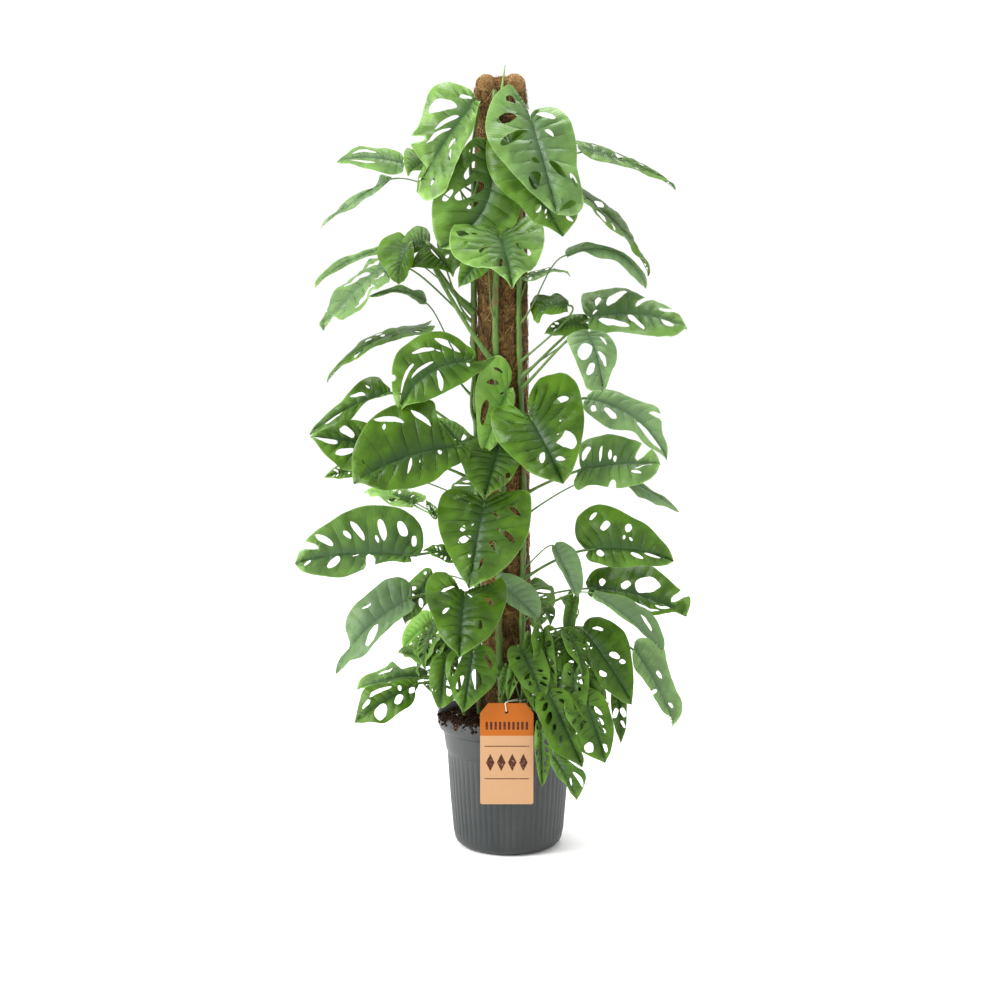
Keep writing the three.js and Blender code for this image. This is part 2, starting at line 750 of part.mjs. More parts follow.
// Leaf stalks
function stalkStart(plan) {
  if (plan.from === "soil") return vec(soilLeafFoot);
  if (shootPlan[plan.from]) return shootPoint(plan.from, plan.at);
  return stemPoint(plan.from, plan.at);
}

// A stalk leaves its stem outward and upward and meets the blade from behind.
function stalkPoints(plan) {
  const frame = leafFrame(plan);
  const start = stalkStart(plan);
  const end = leafPoint(plan, frame, stalkMeets, 0);
  const reach = end.distanceTo(start);
  const outward = start.clone().sub(poleAxis(start.z)).setZ(0).normalize();
  const aim = end.clone().sub(start).setZ(0).normalize();
  const leave = outward.multiplyScalar(stalkLeaves.outward);
  leave.addScaledVector(aim, stalkLeaves.aim).setZ(stalkLeaves.rise).normalize();
  const first = start.clone().addScaledVector(leave, reach * stalkReach.first);
  const second = end.clone().addScaledVector(frame.along, -reach * stalkReach.back);
  second.addScaledVector(frame.up, -reach * stalkReach.under);
  if (plan.bend) second.add(vec(plan.bend));
  return new THREE.CubicBezierCurve3(start, first, second, end).getPoints(stalkSteps);
}

function stalkBar(plan, extra) {
  const radius = plan.young ? youngStalkRadius : stalkRadius;
  const points = stalkPoints(plan);
  const shares = points.map((p, i) => blend(stalkFootShare, stalkTipShare, i / stalkSteps));
  points[0].z -= extra;
  return bar(points, shares.map((share) => radius * share + extra), stalkSides);
}

function leafSolid(plan) {
  return bladeSolid(plan).add(stalkBar(plan, 0));
}

// Pot and soil
function potSolid() {
  const floor = potInner[potInner.length - 1][1];
  let pot = turned(potOuter.concat(potInner), potSides);
  for (let i = 0; i < drainCount; i++) {
    const turn = ((i + 0.5) / drainCount) * fullTurn;
    const x = drainCircle * Math.cos(turn);
    const y = drainCircle * Math.sin(turn);
    const points = [new THREE.Vector3(x, y, -floor), new THREE.Vector3(x, y, 2 * floor)];
    pot = pot.subtract(bar(points, [drainRadius, drainRadius], drainSides));
  }
  return pot;
}

function soilSolid(pockets) {
  const floor = potInner[potInner.length - 1][1] + soilFloorGap;
  const wall = potInner
    .filter(([radius, height]) => radius > 0 && height < soilEdgeTop)
    .map(([radius, height]) => [radius - soilSideGap, height + soilFloorGap])
    .reverse();
  const top = soilRings.map((radius, i) => {
    const dome = soilDome * (1 - radius / soilEdge);
    return [radius, soilTop + dome + soilLumps * Math.sin(i * soilLumpPitch)];
  });
  const centre = [0, soilTop + soilDome];
  let soil = turned([[0, floor], ...wall, [soilEdge, soilEdgeTop], ...top, centre], soilSides);
  for (const pocket of pockets) soil = soil.subtract(pocket);
  return largest(soil);
}

// Tag and string
function tagSolid() {
  const right = tagLeft + tagWidth;
  const top = tagBottom + tagHeight;
  const outline = [
    [tagLeft + tagCorner, tagBottom], [right - tagCorner, tagBottom],
    [right - tagCornerCut, tagBottom + tagCornerCut], [right, tagBottom + tagCorner],
    [right, top - tagChamferZ], [right - tagChamferX, top],
    [tagLeft + tagChamferX, top], [tagLeft, top - tagChamferZ],
    [tagLeft, tagBottom + tagCorner], [tagLeft + tagCornerCut, tagBottom + tagCornerCut],
  ].map(([x, z]) => new THREE.Vector2(x, z));
  const hole = [];
  for (let k = 0; k < tagHole.sides; k++) {
    const turn = (-k / tagHole.sides) * fullTurn;
    const x = tagHole.x + tagHole.radius * Math.cos(turn);
    hole.push(new THREE.Vector2(x, tagHole.z + tagHole.radius * Math.sin(turn)));
  }
  const flat = outline.concat(hole);
  const faces = THREE.ShapeUtils.triangulateShape(outline, [hole]).map((face) => {
    const [a, b, c] = face.map((i) => flat[i]);
    const turns = b.clone().sub(a).cross(c.clone().sub(a));
    return turns > 0 ? face : face.reverse();
  });
  const points = flat.map((p) => new THREE.Vector3(p.x, tagBack - tagThick / 2, p.y));
  return sheet(points, faces, new THREE.Vector3(0, -1, 0), tagThick);
}

// The loop hangs the card: through the hole, up in front of and behind it, and round the shoot.
function stringSolid() {
  const knot = shootPoint("shoot_front", stringKnotHeight);
  const round = shootRadius * (1 - shootTaper / 2) + stringRadius + knotSlack;
  const reach = stringRadius + stringGap;
  const front = tagBack - tagThick - reach;
  const back = tagBack + reach;
  const rest = tagHole.z + tagHole.radius - reach;
  const throughHole = [
    [tagHole.x, back, rest - 0.1], [tagHole.x - 0.2, (front + back) / 2, rest - 0.3],
    [tagHole.x - 0.6, front, rest + 0.2],
  ];
  const upTheFront = [
    [tagHole.x - 1.2, front - 0.4, rest + 8], [tagHole.x - 0.6, front + 0.4, rest + 17],
  ];
  const roundTheShoot = [
    [knot.x - round, knot.y - 1, knot.z + 2], [knot.x - 1, knot.y + round, knot.z + 3],
    [knot.x + round, knot.y, knot.z + 3], [knot.x + 2, knot.y - round - 4, knot.z + 1],
  ];
  const downTheBack = [
    [tagHole.x + 3.2, back + 2, rest + 17], [tagHole.x + 1, back + 0.3, rest + 7],
  ];
  const corners = [...throughHole, ...upTheFront, ...roundTheShoot, ...downTheBack];
  const curve = new THREE.CatmullRomCurve3(corners.map(vec), true);
  const centres = curve.getPoints(stringSteps).slice(0, stringSteps);
  const across = new THREE.Vector3(1, 0.3, 0.2);
  return loop(centres, stringRadius, stringSides, across);
}

// Assembly
const object = new THREE.Group();
object.name = "potted_monstera";

const stems = Object.keys(stemPlan);
const shoots = Object.keys(shootPlan);
const carriers = {};
for (const name of stems) carriers[name] = stemBar(name, growGap);
for (const name of shoots) carriers[name] = shootBar(name, growGap);
const widePole = leaningBar(0, rollHeight + rollRadius, poleRadius + stakeGap, poleSides);

const grown = { stem_front: spearSolid() };
for (const plan of smallPlan) {
  const piece = leafSolid(plan);
  grown[plan.grows] = grown[plan.grows] ? grown[plan.grows].add(piece) : piece;
}

object.add(meshFrom("pot", potSolid(), plasticGrey));
object.add(meshFrom("coir_wrap", coirSolid(), coirBrown));
const stake = leaningBar(stakeFoot, stakeTop, stakeRadius, stakeSides);
object.add(meshFrom("stake", stake, stakeWood));

for (const name of stems) {
  const node = `stem_${name}`;
  let stem = stemBar(name, 0);
  if (grown[node]) stem = stem.add(grown[node]);
  object.add(meshFrom(node, stem.subtract(widePole), stemGreen));
}
for (const name of shoots) {
  object.add(meshFrom(name, shootBar(name, 0).add(grown[name]), stemGreen));
}

const coirPocket = leaningBar(poleFoot - soilFloorGap, 2 * soilTop, poleRadius + growGap, poleSides);
const stakePocket = leaningBar(0, poleFoot + stakeFoot, stakeRadius + stakeGap, stakeSides);
const soilLeaves = leafPlan.filter((plan) => plan.from === "soil");
const pockets = [coirPocket, stakePocket, ...Object.values(carriers)];
for (const plan of soilLeaves) pockets.push(stalkBar(plan, growGap));
object.add(meshFrom("soil", soilSolid(pockets), soilBrown));

for (const plan of leafPlan) {
  let leaf = leafSolid(plan);
  if (carriers[plan.from]) leaf = leaf.subtract(carriers[plan.from]);
  object.add(meshFrom(plan.name, largest(leaf), plan.pale ? youngGreen : leafGreen));
}

object.add(meshFrom("tag", tagSolid(), tagPaper));
object.add(meshFrom("tag_string", stringSolid(), cottonWhite));

export default object;
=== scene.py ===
import math
import random
import zlib

import bpy
import numpy as np
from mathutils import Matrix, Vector, geometry, noise


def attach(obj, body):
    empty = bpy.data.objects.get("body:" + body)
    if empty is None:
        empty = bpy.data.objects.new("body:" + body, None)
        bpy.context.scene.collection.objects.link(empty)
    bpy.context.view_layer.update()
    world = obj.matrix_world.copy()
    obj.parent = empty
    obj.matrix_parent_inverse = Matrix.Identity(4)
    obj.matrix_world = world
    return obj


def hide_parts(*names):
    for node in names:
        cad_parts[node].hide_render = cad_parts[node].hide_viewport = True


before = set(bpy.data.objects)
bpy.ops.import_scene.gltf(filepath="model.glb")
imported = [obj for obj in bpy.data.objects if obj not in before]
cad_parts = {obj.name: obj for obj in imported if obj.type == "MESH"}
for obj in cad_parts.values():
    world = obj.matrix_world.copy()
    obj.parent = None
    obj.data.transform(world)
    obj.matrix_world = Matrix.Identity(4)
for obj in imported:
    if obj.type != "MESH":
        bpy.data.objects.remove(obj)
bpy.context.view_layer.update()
mm = 0.001  # every shape below is worked out in millimetres
noise.seed_set(12)  # the same tufts and crumbs on every run

# the photograph's view comes first
view = {"from": (-0.0161, -3.9, 1.24), "at": (-0.0161, 0, 0.6661), "lens": 75.18}
cameraData = bpy.data.cameras.new("camera")
cameraData.lens = view["lens"]
camera = bpy.data.objects.new("camera", cameraData)
camera.location = view["from"]
aim = Vector(view["at"]) - Vector(view["from"])
camera.rotation_euler = aim.to_track_quat("-Z", "Y").to_euler()
bpy.context.scene.collection.objects.link(camera)
bpy.context.scene.camera = camera


def linear(colour):
    parts = [int(colour[i:i + 2], 16) / 255 for i in (1, 3, 5)]
    return [c / 12.92 if c <= 0.04045 else ((c + 0.055) / 1.055) ** 2.4 for c in parts] + [1]


def addNode(tree, kind, inputs=None, **settings):
    # an input is a hex colour, a plain value, a socket, or a node for its first live output
    node = tree.nodes.new("ShaderNode" + kind)
    for name, value in settings.items():
        setattr(node, name, value)
    for name, value in (inputs or {}).items():
        if isinstance(value, bpy.types.Node):
            value = next(output for output in value.outputs if output.enabled)
        if isinstance(value, bpy.types.NodeSocket):
            tree.links.new(value, node.inputs[name])
        else:
            node.inputs[name].default_value = linear(value) if isinstance(value, str) else value
    return node


def newMaterial(name):
    material = bpy.data.materials.new(name)
    material.use_nodes = True
    material.node_tree.nodes.clear()
    return material


def selectOnly(*objects):
    bpy.ops.object.select_all(action="DESELECT")
    for item in objects:
        item.select_set(True)
    bpy.context.view_layer.objects.active = objects[0]


def applyAll(piece):
    selectOnly(piece)
    for modifier in list(piece.modifiers):
        bpy.ops.object.modifier_apply(modifier=modifier.name)


def joinPieces(first, others):
    if others:
        selectOnly(first, *others)
        bpy.ops.object.join()
    return first


def placePiece(piece, slot, *nodes):
    selectOnly(piece)
    bpy.ops.object.transform_apply(location=True, rotation=True, scale=True)
    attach(piece, "root")
    if nodes:
        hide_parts(*nodes)
    return piece


def meshPiece(name, points, faces, *materials):
    mesh = bpy.data.meshes.new(name)
    mesh.from_pydata([[c * mm for c in p] for p in points], [], faces)
    mesh.update()
    for material in materials:
        mesh.materials.append(material)
    piece = bpy.data.objects.new(name, mesh)
    bpy.context.scene.collection.objects.link(piece)
    return piece


def tube(name, points, radii, material, sides=2, closed=False):
    # a round bar along a drawn line, thick as the radii say
    curve = bpy.data.curves.new(name, "CURVE")
    curve.dimensions = "3D"
    curve.bevel_depth = mm
    curve.bevel_resolution = sides
    curve.use_fill_caps = not closed
    line = curve.splines.new("POLY")
    line.points.add(len(points) - 1)
    line.use_cyclic_u = closed
    for corner, place, radius in zip(line.points, points, radii):
        corner.co = (place[0] * mm, place[1] * mm, place[2] * mm, 1)
        corner.radius = radius
    piece = bpy.data.objects.new(name, curve)
    bpy.context.scene.collection.objects.link(piece)
    piece.data.materials.append(material)
    selectOnly(piece)
    bpy.ops.object.convert(target="MESH")
    bpy.ops.object.shade_smooth()
    return piece


def spinProfile(name, profile, steps, material):
    # a profile drawn in the XZ plane, turned once round the Z axis
    edges = [(i, i + 1) for i in range(len(profile) - 1)]
    mesh = bpy.data.meshes.new(name)
    mesh.from_pydata([(r * mm, 0, z * mm) for r, z in profile], edges, [])
    piece = bpy.data.objects.new(name, mesh)
    bpy.context.scene.collection.objects.link(piece)
    mesh.materials.append(material)
    selectOnly(piece)
    bpy.ops.object.mode_set(mode="EDIT")
    bpy.ops.mesh.select_all(action="SELECT")
    bpy.ops.mesh.spin(steps=steps, angle=2 * math.pi, center=(0, 0, 0), axis=(0, 0, 1))
    bpy.ops.mesh.select_all(action="SELECT")
    bpy.ops.mesh.remove_doubles(threshold=0.00002)
    bpy.ops.mesh.normals_make_consistent(inside=False)
    bpy.ops.object.mode_set(mode="OBJECT")
    bpy.ops.object.shade_smooth()
    return piece


def spread(a, b, share):
    return a + (b - a) * share


def smoothLine(corners, steps, closed=False):
    # Catmull-Rom through the corners
    points = []
    count = len(corners)
    spans = count if closed else count - 1
    for i in range(spans):
        if closed:
            a, b, c, d = (Vector(corners[(i + k) % count]) for k in (-1, 0, 1, 2))
        else:
            a, b = Vector(corners[max(i - 1, 0)]), Vector(corners[i])
            c, d = Vector(corners[i + 1]), Vector(corners[min(i + 2, count - 1)])
        for k in range(steps):
            t = k / steps
            points.append(0.5 * (2 * b + (c - a) * t + (2 * a - 5 * b + 4 * c - d) * t * t
                                 + (3 * b - a - 3 * c + d) * t ** 3))
    if not closed:
        points.append(Vector(corners[-1]))
    return points


def setAttribute(piece, name, kind, values):
    layer = piece.data.attributes.new(name, kind, "POINT")
    flat = np.array(values, np.float32).ravel()
    layer.data.foreach_set("vector" if kind == "FLOAT_VECTOR" else "value", flat)


def moveVertices(piece, change):
    for vertex in piece.data.vertices:
        vertex.co = change(vertex.co / mm) * mm
    piece.data.update()


# Leaf: living tissue under a waxy cuticle. The wax gives a pale soft gloss, and on some leaves a painted
# reflection of the sky greys the colour too. The tissue lets some light through. The sunken side veins
# are painted darker, painted shade in their grooves, and the pale margin is partly painted highlight.
leafFinish = {
    "leaf": {
        "heart": "#294520", "middle": "#3a5814", "outer": "#557b21", "vein": "#203c0e",
        "margin": "#6f8f48", "shine": "#6fa51e", "under": "#5f8040", "paintedSheenGrey": "#7f9a78",
        "roughness": 0.31,
    },
    "young_leaf": {
        "heart": "#5f8b45", "middle": "#6e9a3c", "outer": "#86b055", "vein": "#47702a",
        "margin": "#a5bf7c", "shine": "#93c24e", "under": "#8cab68", "paintedSheenGrey": "#9db39a",
        "roughness": 0.4,
    },
}
veinWidth = 0.085  # share of the space between two side veins
seeThrough = 0.2  # share of the light that the blade lets through


def leafMaterial(name, look, underside):
    material = newMaterial(name)
    tree = material.node_tree
    vein = addNode(tree, "Attribute", attribute_name="vein")
    flat = addNode(tree, "Attribute", attribute_name="flat")
    tone = addNode(tree, "Attribute", attribute_name="tone")
    parts = addNode(tree, "SeparateXYZ", {0: vein.outputs["Vector"]})
    phase, share, edge = parts.outputs
    # patches of about 40 mm for the slow change of colour; the net of fine veins, 1 mm wide on
    # the plant, is drawn with cells of 2.4 mm, or it would not show
    mottle = addNode(tree, "TexNoise", {"Vector": flat.outputs["Vector"], "Scale": 26.0, "Detail": 5.0})
    net = addNode(
        tree, "TexVoronoi", {"Vector": flat.outputs["Vector"], "Scale": 420.0},
        feature="DISTANCE_TO_EDGE")
    toVein = addNode(tree, "Math", {0: phase, 1: 0.5}, operation="PINGPONG")
    line = addNode(
        tree, "MapRange", {"Value": toVein, 1: 0.0, 2: veinWidth, 3: 1.0, 4: 0.0},
        interpolation_type="SMOOTHSTEP")
    fade = addNode(tree, "MapRange", {"Value": share, 1: 0.15, 2: 0.85, 3: 0.5, 4: 0.04})
    veinShade = addNode(tree, "Math", {0: line, 1: fade}, operation="MULTIPLY")
    finePhase = addNode(tree, "Math", {0: phase, 1: 6.0}, operation="MULTIPLY")
    toFine = addNode(tree, "Math", {0: finePhase, 1: 0.5}, operation="PINGPONG")
    fineVeinShade = addNode(tree, "MapRange", {"Value": toFine, 1: 0.0, 2: 0.5, 3: 0.22, 4: 0.0})
    heartPart = addNode(
        tree, "MapRange", {"Value": share, 1: 0.0, 2: 0.36, 3: 0.8, 4: 0.0},
        interpolation_type="SMOOTHSTEP")
    outerPart = addNode(
        tree, "MapRange", {"Value": share, 1: 0.35, 2: 1.0, 3: 0.0, 4: 0.75},
        interpolation_type="SMOOTHSTEP")
    mottlePart = addNode(tree, "MapRange", {"Value": mottle, 1: 0.36, 2: 0.64, 3: -0.5, 4: 0.6})
    outerMix = addNode(tree, "Math", {0: outerPart, 1: mottlePart}, operation="ADD", use_clamp=True)
    # the pale margin and pale hole rims are partly the leaf's own lighter edge and partly painted
    # highlight where light catches the edge
    rim = addNode(
        tree, "MapRange", {"Value": edge, 1: 0.45, 2: 0.95, 3: 0.0, 4: 0.85},
        interpolation_type="SMOOTHSTEP")
    body = addNode(tree, "Mix", {0: outerMix, 6: look["middle"], 7: look["outer"]}, data_type="RGBA")
    body = addNode(tree, "Mix", {0: heartPart, 6: body, 7: look["heart"]}, data_type="RGBA")
    # painted shade: the fine veins and the side veins are mixed towards the dark vein colour along their
    # sunken grooves
    body = addNode(tree, "Mix", {0: fineVeinShade, 6: body, 7: look["vein"]}, data_type="RGBA")
    body = addNode(tree, "Mix", {0: veinShade, 6: body, 7: look["vein"]}, data_type="RGBA")
    if underside:
        body = addNode(tree, "Mix", {0: 0.72, 6: body, 7: look["under"]}, data_type="RGBA")
    body = addNode(tree, "Mix", {0: rim, 6: body, 7: look["margin"]}, data_type="RGBA")
    # painted light and shade: a high tone makes a leaf light and pale, as the young ones are and as the
    # lit ones look; a low tone darkens the leaves that sit in shade
    toneAndLightValue = addNode(tree, "MapRange", {"Value": tone.outputs["Fac"], 1: -1.0, 2: 2.0, 3: 0.62, 4: 2.3})
    toneAndLightSaturation = addNode(tree, "MapRange", {"Value": tone.outputs["Fac"], 1: -1.0, 2: 2.0, 3: 1.12, 4: 0.8})
    body = addNode(tree, "HueSaturation", {"Value": toneAndLightValue, "Saturation": toneAndLightSaturation, "Color": body})
    # painted reflection: on some leaves the green is mixed towards a pale grey-green that stands in for
    # the sky mirrored in the wax
    cool = addNode(tree, "Attribute", attribute_name="cool")
    body = addNode(tree, "Mix", {0: cool.outputs["Fac"], 6: body, 7: look["paintedSheenGrey"]}, data_type="RGBA")
    gloss = addNode(
        tree, "MapRange", {"Value": mottle, 3: look["roughness"] - 0.06, 4: look["roughness"] + 0.14})
    sunk = addNode(tree, "Math", {0: veinShade, 1: -0.8, 2: mottle}, operation="MULTIPLY_ADD")
    height = addNode(
        tree, "Math", {0: net.outputs["Distance"], 1: 0.3, 2: sunk}, operation="MULTIPLY_ADD")
    height = addNode(tree, "Math", {0: fineVeinShade, 1: -0.8, 2: height}, operation="MULTIPLY_ADD")
    relief = addNode(tree, "Bump", {"Height": height, "Strength": 0.6, "Distance": 0.0014})
    shader = addNode(tree, "BsdfPrincipled", {
        "Base Color": body, "Roughness": gloss, "IOR": 1.43, "Normal": relief,
        "Specular IOR Level": 0.2 if underside else 0.38})
    warm = addNode(tree, "Mix", {0: 0.5, 6: body, 7: look["shine"]}, data_type="RGBA")
    through = addNode(tree, "BsdfTranslucent", {"Color": warm})
    both = addNode(tree, "MixShader", {0: seeThrough, 1: shader, 2: through})
    addNode(tree, "OutputMaterial", {"Surface": both})
    return material


# Stalk and stem: ribbed green bark under the same wax, browner where leaves have fallen. The
# ribs, 0.5 mm wide on the plant, are drawn 2.4 mm wide, and the brown patches are 50 mm long.
def stemMaterial(name, green, dark, brown, brownShare):
    material = newMaterial(name)
    tree = material.node_tree
    place = addNode(tree, "TexCoord")
    stretched = addNode(tree, "Mapping", {"Vector": place.outputs["Object"], "Scale": (1, 1, 0.12)})
    grain = addNode(tree, "TexNoise", {"Vector": stretched, "Scale": 420.0, "Detail": 2.0})
    patch = addNode(tree, "TexNoise", {"Vector": place.outputs["Object"], "Scale": 21.0, "Detail": 4.0})
    darkPart = addNode(tree, "MapRange", {"Value": grain, 1: 0.35, 2: 0.7, 3: 0.0, 4: 0.8})
    brownPart = addNode(
        tree, "MapRange", {"Value": patch, 1: 0.66 - brownShare, 2: 0.8 - brownShare, 3: 0.0, 4: 0.85},
        interpolation_type="SMOOTHSTEP")
    colour = addNode(tree, "Mix", {0: darkPart, 6: green, 7: dark}, data_type="RGBA")
    colour = addNode(tree, "Mix", {0: brownPart, 6: colour, 7: brown}, data_type="RGBA")
    relief = addNode(tree, "Bump", {"Height": grain, "Strength": 0.3, "Distance": 0.0006})
    shader = addNode(
        tree, "BsdfPrincipled", {"Base Color": colour, "Roughness": 0.45, "IOR": 1.43, "Normal": relief})
    addNode(tree, "OutputMaterial", {"Surface": shader})
    return material


leafUpper = leafMaterial("waxedLeafUpper", leafFinish["leaf"], False)
leafUnder = leafMaterial("leafUnderside", leafFinish["leaf"], True)
newUpper = leafMaterial("newLeafUpper", leafFinish["young_leaf"], False)
newUnder = leafMaterial("newLeafUnderside", leafFinish["young_leaf"], True)
stalkGreen = stemMaterial("waxedStalk", "#587a30", "#38521e", "#5d5a30", 0.02)
newStalkGreen = stemMaterial("waxedNewStalk", "#7ea357", "#56803a", "#7d8a4c", 0.02)
stemGreen = stemMaterial("climbingStemBark", "#5a7a31", "#36501d", "#6a4a2a", 0.12)
rootBrown = stemMaterial("aerialRootSkin", "#5f4526", "#3a2914", "#4a2f18", 0.16)

# the pole and the stems that everything grows from
pole = {"lean": -0.012, "foot": 40, "top": 1432, "radius": 47}
stems = {
    "front": {"angle": -99, "radius": 7, "top": 1425, "wander": 5},
    "right": {"angle": -52, "radius": 6, "top": 1262, "wander": 4},
    "left": {"angle": 196, "radius": 6.5, "top": 1285, "wander": 6},
    "back": {"angle": 84, "radius": 6, "top": 1300, "wander": 7},
}
shoots = {
    "shoot_left": [(-72, -40, 215), (-88, -30, 280), (-100, -14, 372)],
    "shoot_front": [(18, -92, 215), (22, -100, 280), (34, -108, 362)],
}
soilLeafFoot = Vector((74, -52, 215))
stemGap = 0.75
wanderLength = 90  # a stem sways once round in 2 pi times this height


def poleAxis(height):
    return Vector((pole["lean"] * (height - pole["foot"]), 0, height))


def stemPoint(name, height):
    stem = stems[name]
    angle = math.radians(stem["angle"] + math.sin(height / wanderLength) * stem["wander"])
    reach = pole["radius"] + stem["radius"] + stemGap
    return poleAxis(height) + Vector((math.cos(angle), math.sin(angle), 0)) * reach


shootLines = {name: smoothLine(corners, 24) for name, corners in shoots.items()}


def stalkStart(plan):
    if plan["stem"] == "soil":
        return soilLeafFoot.copy()
    if plan["stem"] in shoots:
        return min(shootLines[plan["stem"]], key=lambda p: abs(p.z - plan["at"])).copy()
    return stemPoint(plan["stem"], plan["at"])


# The leaves, as the photograph shows them. Each one grows from a stem or shoot at a height, and
# its blade runs from base to tip with its upper side to face. half, or left and right, are its
# half widths, in mm like the rest. A rim is a margin drawn point by point at side veins 0 to 9:
# percent of the length and mm from the midrib in turn. A cut is a hole that is drawn: its side,
# the side vein and percent of the way to the margin where it begins, the same where it ends,
# and its width as percent of the space between side veins. A hole says its side, side vein,
# middle, length and width, in the same percent. Without either, the holes fall by chance.
usualLeaf = {
    "arch": 12, "fold": 8, "cup": 6, "bow": 0, "lobe": 1, "tone": 0, "cool": 0, "stalk": 1.9,
    "bend": (0, 0, 0), "slot": "leaf",
}


def leafPlan(stem, at, base, tip, face, **shape):
    plan = {"stem": stem, "at": at, "base": base, "tip": tip, "face": face, **usualLeaf, **shape}
    if "half" in plan:
        plan["left"] = plan["right"] = plan["half"]
    if "leftRim" in plan:
        plan["left"], plan["right"] = max(plan["leftRim"][1::2]), max(plan["rightRim"][1::2])
        plan["cuts"] = [(side, first, low / 100, last, high / 100, width / 100)
                        for side, first, low, last, high, width in plan.get("cuts", ())]
    if "holes" in plan:
        plan["holes"] = [(side, vein, middle / 100, length / 100, width / 100)
                         for side, vein, middle, length, width in plan["holes"]]
    return plan


